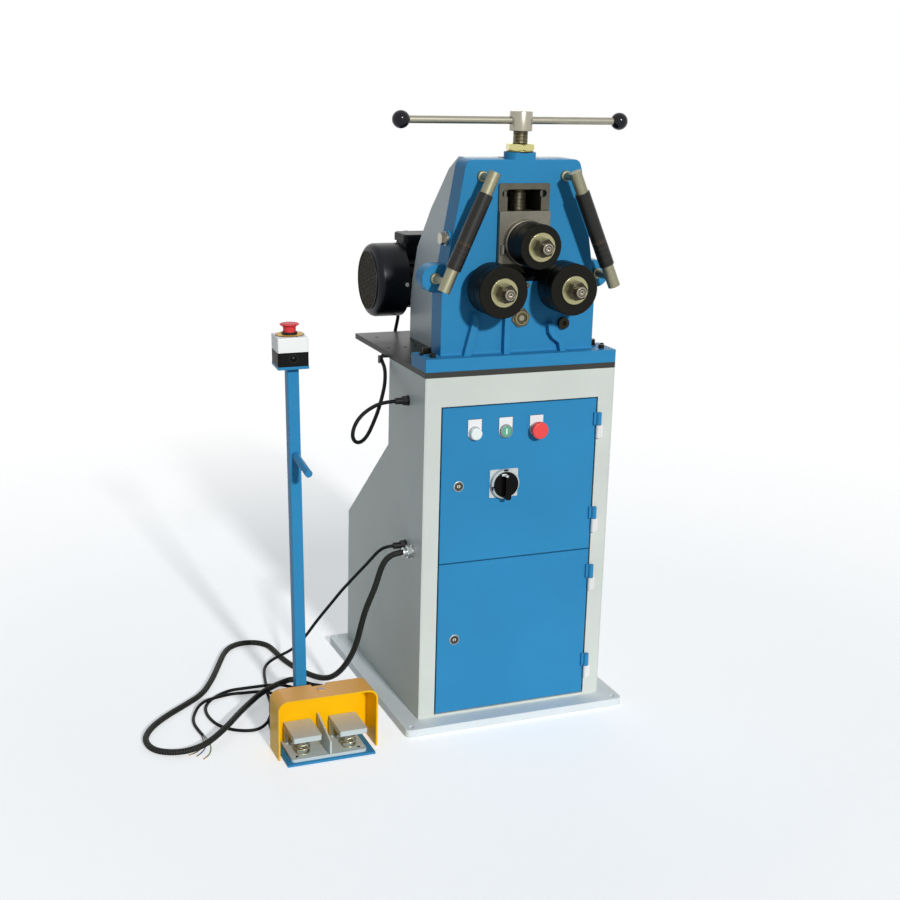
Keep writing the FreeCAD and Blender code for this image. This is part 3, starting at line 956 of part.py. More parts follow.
def pedal(x):
    half, skirt_low = PEDAL_W / 2, PEDAL_LOW - PEDAL_LIP
    tread = box(x - half, x + half, PEDAL_FRONT, PEDAL_REAR, skirt_low, PEDAL_LOW + PEDAL_T)
    tread = rounded(tread, 4.0, (0, 0, 1), lambda c: c.y < PEDAL_FRONT + 1)
    inside = half - PEDAL_WALL
    hollow = box(x - inside, x + inside, PEDAL_FRONT + PEDAL_WALL, PEDAL_REAR + 1, skirt_low - 1, PEDAL_LOW)
    open_rear = box(x - half - 1, x + half + 1, WALL_CUT_Y, PEDAL_REAR + 1, skirt_low - 1, PEDAL_LOW)
    y, z, reach = PEDAL_PIVOT_Y, PEDAL_PIVOT_Z, LUG_INNER - FREE_GAP / 2
    barrel = rod(PEDAL_BARREL_R, (x - reach, y, z), (x + reach, y, z))
    web = box(x - reach, x + reach, y - 5, y + 5, z, PEDAL_LOW)
    bore = rod(PEDAL_PIN_R + RUNNING_FIT, (x - half, y, z), (x + half, y, z))
    return cut(fuse(cut(tread, hollow, open_rear), barrel, web), bore)


def pedal_spring(x, y):
    low, high = FOOT_HIGH + SPRING_WIRE, PEDAL_LOW - SPRING_WIRE
    steps, sections = 12 * SPRING_TURNS, []
    for i in range(steps + 1):
        turn = 2 * math.pi * i / 12
        rise = low + (high - low) * i / steps
        centre = vec(x + SPRING_R * math.cos(turn), y + SPRING_R * math.sin(turn), rise)
        corners = []
        for j in range(7):
            a = math.radians(60 * j + 30)
            out, up = SPRING_WIRE * math.cos(a), SPRING_WIRE * math.sin(a)
            corners.append(centre + vec(out * math.cos(turn), out * math.sin(turn), up))
        sections.append(Part.makePolygon(corners))
    return Part.makeLoft(sections, True, True)


def pedal_guard():
    left, right, thick, top = GUARD_LEFT, GUARD_RIGHT, GUARD_T, GUARD_TOP
    outer = box(left, right, GUARD_FRONT, GUARD_REAR, 0, top)
    outer = rounded(outer, GUARD_CORNER, (0, 1, 0), lambda c: c.z > top - 1)
    inner = box(left + thick, right - thick, GUARD_FRONT - 1, GUARD_REAR - thick, -1, top - thick)
    inner = rounded(inner, GUARD_CORNER - thick, (0, 1, 0), lambda c: c.z > top - thick - 1)
    base_gap = box(left + thick, right - thick, GUARD_REAR - 10, GUARD_REAR + 1, -1, FOOT_HIGH)
    notch = box(NOTCH_LEFT, NOTCH_RIGHT, NOTCH_FRONT, GUARD_REAR + 1, top - NOTCH_DEPTH, top + 1)
    x, y, plug_r = *GUARD_PLUG, GUARD_PLUG_R
    plug_hole = rod(plug_r - 2 + SEAT_FIT, (x, y, top - 10), (x, y, top + 5))
    plug_tail = rod(plug_r - 2, (x, y, top - thick), (x, y, top))
    plug = fuse(rod(plug_r, (x, y, top), (x, y, top + 2)), plug_tail)
    return [cut(outer, inner, base_gap, notch, plug_hole), plug]


# ---- cables ----

def gland(y, z, reach, nut_af, body_r):
    x = -CAB_HALF
    washer = rod(nut_af * 0.62, (x - 3, y, z), (x, y, z))
    nut = bevelled_hexagon(nut_af, "x", (y, z), x - 14, x - 3)
    dome = rod(body_r, (x - reach, y, z), (x - 14, y, z))
    dome = dome.makeFillet(2.0, rim_edges(dome, "x", x - reach))
    tail = rod(body_r, (x, y, z), (x + SHEET + 8, y, z))
    return fuse(washer, nut, dome, tail)


def cable_glands():
    x, z = -CAB_HALF - 15, CAB_TOP
    clip = fuse(box(x, x + 46, 256, 268, z - 4, z), box(x, x + 2, 256, 268, z - 17, z))
    return [clip] + [gland(*spot) for spot in GLANDS]


def gland_tip(y, z, reach, nut_af, body_r):
    return (-CAB_HALF - reach, y, z)


def motor_cable_route():
    # from the terminal box down to the cabinet's clip, then in a loop to the upper gland
    start = (TERMINAL_GLAND_X, TERMINAL_BACK + TERMINAL_REACH, TERMINAL_GLAND_Z)
    middle = [(x - CAB_HALF, y, z + CAB_TOP) for x, y, z in MOTOR_CABLE_ROUTE]
    return [start] + middle + [gland_tip(*GLANDS[0])]


def mains_wires():
    solids = []
    for i, route in enumerate(CORE_ROUTES):
        points = [(x, y, CORE_WIRE_R + 0.3) for x, y in route]
        points[0] = (route[0][0], route[0][1], MAINS_R + 0.45)
        solids.append(cable("core %d" % (i + 1), CORE_WIRE_R, points))
    return solids


def build():
    upper_low, upper_high = DOOR_SPLIT + DOOR_CLEARANCE / 2, OPENING_HIGH - DOOR_CLEARANCE
    lower_low, lower_high = OPENING_LOW + DOOR_CLEARANCE, DOOR_SPLIT - DOOR_CLEARANCE / 2
    control_holes = tuple((BARREL_R + SEAT_FIT, x, CONTROL_Z) for x in (LAMP_X, START_X, STOP_X))
    control_holes += ((10.0 + SEAT_FIT, SWITCH_X, SWITCH_Z),)
    return {
        "base_tray": [base_tray()],
        "cabinet_left_side": [left_side()],
        "cabinet_right_side": [side_panel()],
        "cabinet_back": [cabinet_back()],
        "cabinet_front_frame": [front_frame()],
        "cabinet_shelf": [cabinet_shelf()],
        "hinge_pins": hinge_pins(),
        "electrical_panel": electrical_panel(),
        "upper_door": [door(upper_low, upper_high, UPPER_HINGES, UPPER_LOCK_Z, control_holes)],
        "lower_door": [door(lower_low, lower_high, LOWER_HINGES, LOWER_LOCK_Z, ())],
        "upper_door_fittings": door_fittings(),
        "lower_door_fittings": [lock_housing(LOWER_LOCK_Z)],
        "upper_lock": [lock_core(UPPER_LOCK_Z)],
        "lower_lock": [lock_core(LOWER_LOCK_Z)],
        "switch_plate": [switch_plate()],
        "switch_knob": [switch_knob()],
        "start_button": [start_button()],
        "stop_button": [stop_button()],
        "top_plate": [top_plate()],
        "fixing_bolts": fixing_bolts(),
        "head_casting": [head_casting()],
        "guide_frame": [guide_frame()],
        "lower_bearings": lower_bearings(),
        "slide_block": slide_block(),
        "lead_screw": [lead_screw()],
        "cross_bar": [cross_bar()],
        "ball_knobs": ball_knobs(),
        "left_spindle": spindle(-LOWER_X, LOWER_Z, HEAD_FACE + 2, GEAR_FRONT + GEAR_W + 6),
        "right_spindle": spindle(LOWER_X, LOWER_Z, HEAD_FACE + 2, MOTOR_Y + 47.0),
        "upper_spindle": spindle(0.0, UPPER_Z, BLOCK_FRONT + 2, HEAD_BACK - 1),
        "left_rolls": rolls(-LOWER_X, LOWER_Z, LOWER_ROLL_R, LOWER_RING),
        "right_rolls": rolls(LOWER_X, LOWER_Z, LOWER_ROLL_R, LOWER_RING),
        "upper_rolls": rolls(0.0, UPPER_Z, UPPER_ROLL_R, UPPER_RING),
        "left_gear": [spindle_gear(-1)],
        "right_gear": [spindle_gear(1)],
        "idler_gear": [idler_gear()],
        "gear_cover": [gear_cover()],
        "worm_reducer": worm_reducer(),
        "motor_frame": motor_frame(),
        "motor_cowl": [motor_cowl()],
        "motor_fan": [motor_fan()],
        "guide_rods": guide_rods(),
        "left_sleeve": sleeve(-1),
        "right_sleeve": sleeve(1),
        "oil_fittings": oil_fittings(),
        "pedestal_stand": [pedestal_stand()],
        "estop_box_base": [estop_box_base()],
        "estop_box_lid": [estop_box_lid()],
        "estop_button": [estop_button()],
        "pedal_base": pedal_base(),
        "pedal_guard": pedal_guard(),
        "left_pedal": [pedal(LEFT_PEDAL_X)],
        "right_pedal": [pedal(RIGHT_PEDAL_X)],
        "left_pedal_spring": [pedal_spring(*LEFT_SPRING)],
        "right_pedal_spring": [pedal_spring(*RIGHT_SPRING)],
        "cable_glands": cable_glands(),
        "foot_switch_conduit": [cable("conduit", CONDUIT_R, (gland_tip(*GLANDS[2]),) + CONDUIT_ROUTE)],
        "mains_cord": [cable("mains cord", MAINS_R, (gland_tip(*GLANDS[1]),) + MAINS_ROUTE)],
        "mains_wires": mains_wires(),
        "motor_cable": [cable("motor cable", MOTOR_CABLE_R, motor_cable_route())],
    }


os.makedirs("parts", exist_ok=True)
anchor_mid = TRAY_D / 2 - TRAY_FRONT
for node, solids in build().items():
    shape = solids[0] if len(solids) == 1 else Part.makeCompound(solids)
    for solid in solids:
        if not solid.isValid() or solid.Volume <= 0:
            print("CHECK", node, "invalid", solid.isValid(), "volume", solid.Volume)
    shape.translate(vec(0, -anchor_mid, 0))
    shape.exportStep("parts/%s.step" % node)
print("written", len(os.listdir("parts")), "files")
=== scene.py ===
import math
import bpy
import bmesh
from mathutils import Matrix, Vector


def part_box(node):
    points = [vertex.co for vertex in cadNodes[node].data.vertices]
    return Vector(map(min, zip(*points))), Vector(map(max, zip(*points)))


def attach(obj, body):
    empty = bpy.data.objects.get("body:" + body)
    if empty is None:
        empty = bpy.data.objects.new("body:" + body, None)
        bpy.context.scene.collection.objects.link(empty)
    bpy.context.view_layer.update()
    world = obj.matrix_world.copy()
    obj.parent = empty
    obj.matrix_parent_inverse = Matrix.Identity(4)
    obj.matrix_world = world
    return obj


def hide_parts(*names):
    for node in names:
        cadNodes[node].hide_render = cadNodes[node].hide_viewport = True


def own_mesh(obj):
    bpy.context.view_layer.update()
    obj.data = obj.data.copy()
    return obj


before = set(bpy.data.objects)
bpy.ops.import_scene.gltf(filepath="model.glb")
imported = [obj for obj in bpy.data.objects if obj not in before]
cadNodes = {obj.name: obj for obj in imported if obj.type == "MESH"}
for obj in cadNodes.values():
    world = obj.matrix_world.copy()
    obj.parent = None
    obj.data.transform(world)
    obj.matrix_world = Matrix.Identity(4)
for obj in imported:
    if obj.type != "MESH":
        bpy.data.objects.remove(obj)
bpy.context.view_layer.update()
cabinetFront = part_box("top_plate")[0][1]      # depths below are millimetres behind this face
print("frame loaded:", len(cadNodes), "nodes")


def spot(x, depth, z):
    return Vector((x / 1000, cabinetFront + depth / 1000, z / 1000))


def srgb(red, green, blue):
    def channel(value):
        share = value / 255
        return share / 12.92 if share <= 0.04045 else ((share + 0.055) / 1.055) ** 2.4
    return (channel(red), channel(green), channel(blue), 1.0)


class Tap:
    # one output socket of a node, with arithmetic
    def __init__(self, owner, socket):
        self.owner, self.socket = owner, socket

    def calc(self, operation, first, second=0.0):
        return self.owner.add("ShaderNodeMath", {"operation": operation}, {0: first, 1: second})

    def __add__(self, other):
        return self.calc("ADD", self, other)

    def __sub__(self, other):
        return self.calc("SUBTRACT", self, other)

    def __rsub__(self, other):
        return self.calc("SUBTRACT", other, self)

    def __mul__(self, other):
        return self.calc("MULTIPLY", self, other)

    def __pow__(self, other):
        return self.calc("POWER", self, other)

    def __rpow__(self, other):
        return self.calc("POWER", other, self)

    __radd__, __rmul__ = __add__, __mul__

    def above(self, limit):
        return self.calc("GREATER_THAN", self, limit)

    def below(self, limit):
        return self.calc("LESS_THAN", self, limit)

    def clamped(self):
        return self.calc("MINIMUM", self.calc("MAXIMUM", self, 0.0), 1.0)


class Nodes:
    # the node tree of a material or a world
    def __init__(self, holder):
        holder.use_nodes = True
        self.tree = holder.node_tree
        self.tree.nodes.clear()

    def add(self, kind, settings=None, sockets=None, output=0):
        node = self.tree.nodes.new(kind)
        for key, value in (settings or {}).items():
            setattr(node, key, value)
        for key, value in (sockets or {}).items():
            if isinstance(value, Tap):
                self.tree.links.new(value.socket, node.inputs[key])
            else:
                node.inputs[key].default_value = value
        return Tap(self, node.outputs[output]) if node.outputs else None

    def mix(self, share, first, second):
        return self.add("ShaderNodeMix", {"data_type": "RGBA"}, {0: share, 6: first, 7: second}, 2)

    def seenRay(self):
        # 1 for rays that show the background: from the camera, off gloss and through glass
        seen = self.add("ShaderNodeLightPath", {}, {}, "Is Camera Ray")
        for name in ("Is Glossy Ray", "Is Transmission Ray"):
            seen = seen.calc("MAXIMUM", seen, self.add("ShaderNodeLightPath", {}, {}, name))
        return seen


class Finish(Nodes):
    # a material whose pattern is laid in object space
    bevelSamples = 4

    def __init__(self, name):
        self.material = bpy.data.materials.new(name)
        super().__init__(self.material)
        self.place = self.add("ShaderNodeTexCoord", {}, {}, "Object")

    def noise(self, scale, detail=3.0, roughness=0.5, stretch=None):
        place = self.place
        if stretch:
            place = self.add("ShaderNodeVectorMath", {"operation": "MULTIPLY"}, {0: place, 1: stretch})
        return self.add("ShaderNodeTexNoise", {}, {"Vector": place, "Scale": scale, "Detail": detail,
                                                   "Roughness": roughness}, "Fac")

    def ramp(self, value, low, high):
        # 0 at low and 1 at high
        sockets = {"Value": value, "From Min": low, "From Max": high}
        return self.add("ShaderNodeMapRange", {}, sockets, "Result")

    def axis(self, letter):
        return self.add("ShaderNodeSeparateXYZ", {}, {"Vector": self.place}, letter)

    def band(self, letter, low, high):
        # 1 where this coordinate, in metres, lies between low and high
        place = self.axis(letter)
        return place.above(low) * place.below(high)

    def nearLine(self, axis, point, radius):
        # 1 within radius of a line along axis through point, in metres
        spread = [(self.axis(c) - point["XYZ".index(c)]) ** 2.0 for c in "XYZ" if c != axis]
        return (spread[0] + spread[1]).below(radius * radius)

    def edges(self, radius, gain):
        # 1 on convex edges, from how far the rounded normal leaves the real one
        rounded = self.rounded(radius)
        real = self.add("ShaderNodeNewGeometry", {}, {}, "Normal")
        dot = self.add("ShaderNodeVectorMath", {"operation": "DOT_PRODUCT"}, {0: rounded, 1: real}, "Value")
        return ((1.0 - dot) * gain).clamped()

    def rounded(self, radius):
        # the normal of an edge rounded to this radius, in metres
        return self.add("ShaderNodeBevel", {"samples": self.bevelSamples}, {"Radius": radius})

    def shade(self, colour, roughness, metallic, height, relief, strength, coat, rounding, gloss):
        normal = self.add("ShaderNodeBump", {}, {"Height": height, "Distance": relief, "Strength": strength,
                                                 "Normal": self.rounded(rounding)})
        shader = self.add("ShaderNodeBsdfPrincipled", {}, {
            "Base Color": colour, "Roughness": roughness, "Metallic": metallic, "Coat Weight": coat,
            "Specular IOR Level": gloss, "Normal": normal})
        return self.close(shader)

    def close(self, shader):
        self.add("ShaderNodeOutputMaterial", {}, {"Surface": shader})
        return self.material


def scaled(colour, gain):
    return tuple(min(1.0, c * gain) for c in colour[:3]) + (1.0,)


def zoned(f, tone, rough, metal, zones):
    # lays zones over a finish: each is (mask maker, colour, roughness, metallic)
    for mask, colour, zoneRough, zoneMetal in zones:
        share = mask(f)
        tone = f.mix(share, tone, colour)
        rough = share * zoneRough + (1.0 - share) * rough
        metal = share * zoneMetal + (1.0 - share) * metal
    return tone, rough, metal


paintWork = {"broad": (5.0, 4.0), "broadSpan": (0.3, 0.7), "shades": (0.95, 1.04), "broadRough": 0.08,
             "grime": (14.0, 6.0, 0.65), "grimeSpan": (0.52, 0.80), "grimeShade": 0.45, "grimeRough": 0.4,
             "chips": (90.0, 5.0, 0.7), "chipSpan": (0.56, 0.60), "chipEdge": (0.0015, 6.0),
             "fineDetail": 2.0}


def paintFinish(name, colour, roughness=0.3, peel=0.12, dirt=0.12, wear=0.0, bare=None, rounding=0.0012,
                zones=(), relief=0.00012, grain=160.0, gloss=0.25):
    f, w = Finish(name), paintWork
    broad, fine = f.noise(*w["broad"]), f.noise(grain, w["fineDetail"])
    grime = f.ramp(f.noise(*w["grime"]), *w["grimeSpan"]) * dirt
    tone = f.mix(f.ramp(broad, *w["broadSpan"]), *(scaled(colour, shade) for shade in w["shades"]))
    tone = f.mix(grime, tone, scaled(colour, w["grimeShade"]))
    if wear:
        chips = f.ramp(f.noise(*w["chips"]), *w["chipSpan"]) * f.edges(*w["chipEdge"])
        tone = f.mix((chips * wear).clamped(), tone, bare)
    rough, metal = grime * w["grimeRough"] + (broad * w["broadRough"] + roughness), grime * 0.0
    tone, rough, metal = zoned(f, tone, rough, metal, zones)
    return f.shade(tone, rough, metal, fine, relief, peel, 0.0, rounding, gloss)


steelWork = {"lines": (220.0, 3.0, 0.6), "lineSpan": (0.4, 0.6), "lineShade": 1.25, "lineRough": 0.08,
             "cloud": (22.0, 5.0, 0.6), "stainSpan": (0.35, 0.7), "stainShade": 0.45, "dullSpan": (0.3, 0.8),
             "dull": 0.18, "relief": 0.00008}


def steelFinish(name, colour, roughness=0.25, grain=(1.0, 1.0, 1.0), stain=0.2, rounding=0.0005,
                grainDepth=0.15, zones=(), streak=0.25, shine=1.0, gloss=0.5):
    f, w = Finish(name), steelWork
    lines, cloud = f.noise(*w["lines"], grain), f.noise(*w["cloud"])
    tone = f.mix(f.ramp(cloud, *w["stainSpan"]) * stain, colour, scaled(colour, w["stainShade"]))
    tone = f.mix(f.ramp(lines, *w["lineSpan"]) * streak, tone, scaled(colour, w["lineShade"]))
    rough = f.ramp(cloud, *w["dullSpan"]) * w["dull"] + (lines * w["lineRough"] + roughness)
    tone, rough, metal = zoned(f, tone, rough, lines * 0.0 + shine, zones)
    return f.shade(tone, rough, metal, lines, w["relief"], grainDepth, 0.0, rounding, gloss)


plasticWork = {"fine": (420.0, 2.0), "cloud": (30.0, 4.0), "cloudSpan": (0.3, 0.75), "cloudShare": 0.3,
               "cloudShade": 0.82, "cloudRough": 0.1, "relief": 0.00006}


def plasticFinish(name, colour, roughness=0.35, grain=0.08, coat=0.0, rounding=0.0006, zones=(), gloss=0.3):
    f, w = Finish(name), plasticWork
    fine, cloud = f.noise(*w["fine"]), f.noise(*w["cloud"])
    tone = f.mix(f.ramp(cloud, *w["cloudSpan"]) * w["cloudShare"], colour, scaled(colour, w["cloudShade"]))
    tone, rough, metal = zoned(f, tone, cloud * w["cloudRough"] + roughness, cloud * 0.0, zones)
    return f.shade(tone, rough, metal, fine, w["relief"], grain, coat, rounding, gloss)


def block(x=None, depth=None, z=None):
    # a mask maker: 1 between these limits, in millimetres
    def mask(f):
        share = 1.0
        for letter, span, start in (("X", x, 0.0), ("Y", depth, cabinetFront), ("Z", z, 0.0)):
            if span:
                share = f.band(letter, start + span[0] / 1000, start + span[1] / 1000) * share
        return share
    return mask


def about(axis, x, depth, z, radius, inner=0.0, limits=None):
    # a mask maker: a round zone, or a ring, about a line along axis, within limits where they are given
    def mask(f):
        share = f.nearLine(axis, spot(x, depth, z), radius / 1000)
        if inner:
            share = share - f.nearLine(axis, spot(x, depth, z), inner / 1000)
        return limits(f) * share if limits else share
    return mask


def smoothFaces(mesh, angle=32.0):
    work = bmesh.new()
    work.from_mesh(mesh)
    for face in work.faces:
        face.smooth = True
    for edge in work.edges:
        edge.smooth = len(edge.link_faces) == 2 and edge.calc_face_angle(0.0) < math.radians(angle)
    work.to_mesh(mesh)
    work.free()


def addPiece(name, mesh, body, finish, replaced=(), angle=32.0):
    # edges sharper than angle, in degrees, stay sharp
    smoothFaces(mesh, angle)
    mesh.materials.append(finish)
    piece = bpy.data.objects.new(name, mesh)
    bpy.context.collection.objects.link(piece)
    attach(piece, body)
    if replaced:
        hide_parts(*replaced)
    return piece


def gridMesh(name, rings, caps=True):
    # rings of equally many points, joined in order; the end rings are closed with a face
    verts = [tuple(p) for ring in rings for p in ring]
    count, faces = len(rings[0]), []
    for i in range(len(rings) - 1):
        for j in range(count):
            k = (j + 1) % count
            faces.append((i * count + j, i * count + k, (i + 1) * count + k, (i + 1) * count + j))
    if caps:
        faces.append(tuple(reversed(range(count))))
        faces.append(tuple((len(rings) - 1) * count + j for j in range(count)))
    mesh = bpy.data.meshes.new(name)
    mesh.from_pydata(verts, [], faces)
    work = bmesh.new()
    work.from_mesh(mesh)
    bmesh.ops.remove_doubles(work, verts=work.verts, dist=1e-7)
    bmesh.ops.recalc_face_normals(work, faces=work.faces)
    work.to_mesh(mesh)
    work.free()
    return mesh


def axisFrame(axis):
    axis = Vector(axis).normalized()
    side = axis.orthogonal().normalized()
    return axis, side, axis.cross(side)


leastRadius = 0.0001                            # in millimetres, keeps the points round an axis apart


def turned(name, profile, centre, axis, segments=64):
    # profile: (radius, distance along the axis) in millimetres, from one end to the other
    axis, side, up = axisFrame(axis)
    rings = []
    for radius, along in profile:
        middle = centre + axis * along / 1000
        rings.append([middle + (side * math.cos(t) + up * math.sin(t)) * max(radius, leastRadius) / 1000
                      for t in (2 * math.pi * j / segments for j in range(segments))])
    return gridMesh(name, rings)


def threadMesh(name, radius, depth, pitch, centre, axis, low, high, segments=48, perTurn=6):
    axis, side, up = axisFrame(axis)
    steps = max(2, int((high - low) / pitch * perTurn))
    rings = []
    for i in range(steps + 1):
        along = low + (high - low) * i / steps
        taper = min(1.0, (high - along) / pitch, (along - low) / pitch) if 0 < i < steps else 0.0
        ring = []
        for j in range(segments):
            t = 2 * math.pi * j / segments
            wave = abs(((along / pitch - j / segments) % 1.0) * 2 - 1)
            r = radius - depth * (1 - wave * taper)
            ring.append(centre + axis * along / 1000 + (side * math.cos(t) + up * math.sin(t)) * r / 1000)
        rings.append(ring)
    return gridMesh(name, rings)


def tubeMesh(name, points, radiusAt, sides):
    # a tube along points, radiusAt(i) in metres, with its section carried along without twist
    rings, side = [], None
    for i, p in enumerate(points):
        ahead = (points[min(i + 1, len(points) - 1)] - points[max(i - 1, 0)]).normalized()
        side = ahead.orthogonal() if side is None else side - ahead * side.dot(ahead)
        side.normalize()
        up = ahead.cross(side)
        rings.append([p + (side * math.cos(t) + up * math.sin(t)) * radiusAt(i)
                      for t in (2 * math.pi * j / sides for j in range(sides))])
    return gridMesh(name, rings)


paint = {"cabinet": srgb(213, 217, 209), "blue": srgb(52, 138, 187), "cover": srgb(226, 231, 229),
         "tray": srgb(226, 232, 233), "hinge": srgb(234, 232, 228), "plate": srgb(68, 68, 64),
         "guard": srgb(255, 194, 6), "guardTopSheen": srgb(255, 186, 93), "guardWorn": srgb(150, 100, 30),
         "motor": srgb(9, 11, 17), "pedal": srgb(200, 211, 210), "pedalWorn": srgb(120, 118, 106),
         "castWorn": srgb(28, 60, 84)}
metal = {"bright": srgb(156, 153, 138), "machined": srgb(92, 90, 80), "ground": srgb(120, 117, 106),
         "zinc": srgb(166, 162, 124), "dark": srgb(62, 58, 50), "roll": srgb(10, 10, 9),
         "rollFaceSheen": srgb(27, 26, 22), "sleeve": srgb(26, 25, 22), "rod": srgb(144, 141, 117),
         "cast": srgb(160, 162, 160), "spring": srgb(196, 190, 160)}
even = (1.0, 1.0, 1.0)                          # a grain with no direction

# the inside of the head's window is painted near black: painted shade in the recess
headWindowShade = {"x": (-58, 58), "depth": (31.5, 300), "z": (1020, 1232), "colour": srgb(10, 12, 16)}
guardPlug = {"x": -470, "depth": -19.8, "radius": 8.2, "z": (137.1, 150), "colour": srgb(206, 176, 172)}
# dark discs are painted at the pedal base's two screw holes: painted shade inside the holes
pedalHoleShade = {"x": (-540.0, -399.0), "depth": -71.0, "radius": 3.6, "z": (5.1, 13),
              "colour": srgb(30, 28, 26)}
# the rolls' front faces are painted lighter than the rest of the roll: a painted sheen
rollFaceSheen = {"depth": (-69, -67.2)}


def facingUp(f):
    # the share of a face's normal that points up
    normal = f.add("ShaderNodeNewGeometry", {}, {}, "Normal")
    return f.add("ShaderNodeSeparateXYZ", {}, {"Vector": normal}, "Z").clamped()


windowShadeZones = [(block(headWindowShade["x"], headWindowShade["depth"], headWindowShade["z"]), headWindowShade["colour"], 0.5, 0.0)]
pedalHoleShadeZones = [(about("Z", x, pedalHoleShade["depth"], 0, pedalHoleShade["radius"], 0.0, block(z=pedalHoleShade["z"])),
               pedalHoleShade["colour"], 0.5, 0.0) for x in pedalHoleShade["x"]]
plugMask = about("Z", guardPlug["x"], guardPlug["depth"], 0, guardPlug["radius"], 0.0,
                 block(z=guardPlug["z"]))
# faces that point up are painted a paler orange: a painted sky reflection on the guard's top; the plug keeps
# its own colour
guardZones = [(facingUp, paint["guardTopSheen"], 0.3, 0.0), (plugMask, guardPlug["colour"], 0.3, 0.0)]
cabinetPaint = paintFinish("cabinetPaint", paint["cabinet"], 0.36, 0.10, 0.05)
trayPaint = paintFinish("trayPaint", paint["tray"], 0.36, 0.10, 0.05)
hingePaint = paintFinish("hingePaint", paint["hinge"], 0.30, 0.10, 0.05)
bluePaint = paintFinish("bluePaint", paint["blue"], 0.34, 0.08, 0.04, rounding=0.0016, gloss=0.1)
castPaint = paintFinish("castPaint", paint["blue"], 0.36, 0.45, 0.05, 0.4, paint["castWorn"], rounding=0.002,
                        zones=windowShadeZones, relief=0.0004, grain=70.0, gloss=0.1)
# the cover wears the cabinet's grey; this lighter copy of it is painted light on the cover's shaded sides
coverPaintLightened = paintFinish("coverPaintLightened", paint["cover"], 0.30, 0.12, 0.06)
platePaint = paintFinish("platePaint", paint["plate"], 0.30, 0.20, 0.12, gloss=0.08)
pedalPaint = paintFinish("pedalPaint", paint["pedal"], 0.42, 0.25, 0.08, 0.2, paint["pedalWorn"],
                         rounding=0.0010, zones=pedalHoleShadeZones, relief=0.0002, grain=240.0)
motorPaint = paintFinish("motorPaint", paint["motor"], 0.38, 0.10, 0.02, gloss=0.12)
guardPaint = paintFinish("guardPaint", paint["guard"], 0.30, 0.12, 0.04, 0.3, paint["guardWorn"],
                         zones=guardZones, gloss=0.12)

brightSteel = steelFinish("brightSteel", metal["bright"], 0.26, (1.0, 4.0, 4.0), 0.30)
machinedSteel = steelFinish("machinedSteel", metal["machined"], 0.36, (0.3, 1.0, 3.0), 0.50)
groundSteel = steelFinish("groundSteel", metal["ground"], 0.34, (0.3, 1.0, 3.0), 0.45, 0.0008)
rollSteel = steelFinish("rollSteel", metal["roll"], 0.24, (1.0, 3.0, 1.0), 0.35, 0.0014, shine=0.0,
                        gloss=0.08, zones=[(block(depth=rollFaceSheen["depth"]), metal["rollFaceSheen"], 0.36, 0.0)])
castAluminium = steelFinish("castAluminium", metal["cast"], 0.48, even, 0.25, 0.001, 0.5)
springSteel = steelFinish("springSteel", metal["spring"], 0.24, even, 0.35)
rodSteel = steelFinish("rodSteel", metal["rod"], 0.34, even, 0.30, 0.0008, shine=0.8)

sideRod = {"x": 93.5, "z": 1261.5, "lean": math.atan2(110.5, 249.5), "bands": (    # start, width, colour
    (158.0, 9.0, srgb(42, 37, 31)), (162.4, 2.6, srgb(76, 58, 40)), (177.0, 1.4, srgb(52, 48, 42)),
    (188.0, 1.2, srgb(52, 48, 42)), (204.0, 3.0, srgb(40, 38, 34)))}


def downRod(low, high):
    # 1 between two distances, in millimetres, down either leaning rod from its top end
    def mask(f):
        across = f.add("ShaderNodeMath", {"operation": "ABSOLUTE"}, {0: f.axis("X")}) - sideRod["x"] / 1000
        down = sideRod["z"] / 1000 - f.axis("Z")
        along = across * math.sin(sideRod["lean"]) + down * math.cos(sideRod["lean"])
        return along.above(low / 1000) * along.below(high / 1000)
    return mask


sleeveZones = [(downRod(start, start + wide), tone, 0.36, 0.0) for start, wide, tone in sideRod["bands"]]
sleeveSteel = steelFinish("sleeveSteel", metal["sleeve"], 0.30, (1.0, 4.0, 1.0), 0.35, 0.0010,
                          zones=sleeveZones, streak=0.5, shine=0.0, gloss=0.3)

spindleEnd = {"washer": (-73.4, -60), "washerRadius": 33, "nut": (-92.4, -73.3), "tip": (-120, -92.3),
              "face": (-120, -103), "ring": (8.6, 6.4), "centre": 2.6, "tipTone": srgb(150, 144, 128),
              "ringTone": srgb(70, 66, 58), "centreHoleShade": srgb(12, 12, 12)}
spindlePlaces = {"leftSpindle": (-83.5, 1013.5), "rightSpindle": (83.5, 1013.5),
                 "upperSpindle": (0.0, 1108.0)}


def spindleZones(x, z):
    # olive zinc washer, dark nut, and a bright tip; its centre hole is a near-black dot of painted shade
    e = spindleEnd
    return [(about("Y", x, 0, z, e["washerRadius"], 0.0, block(depth=e["washer"])), metal["zinc"], 0.30, 1.0),
            (block(depth=e["nut"]), metal["dark"], 0.34, 1.0),
            (block(depth=e["tip"]), e["tipTone"], 0.26, 1.0),
            (about("Y", x, 0, z, *e["ring"], block(depth=e["face"])), e["ringTone"], 0.4, 1.0),
            (about("Y", x, 0, z, e["centre"], 0.0, block(depth=e["face"])), e["centreHoleShade"], 0.6, 0.0)]


spindleFinish = {name: steelFinish(name + "Steel", metal["bright"], 0.28, even, 0.2, 0.0006,
                                   zones=spindleZones(x, z)) for name, (x, z) in spindlePlaces.items()}

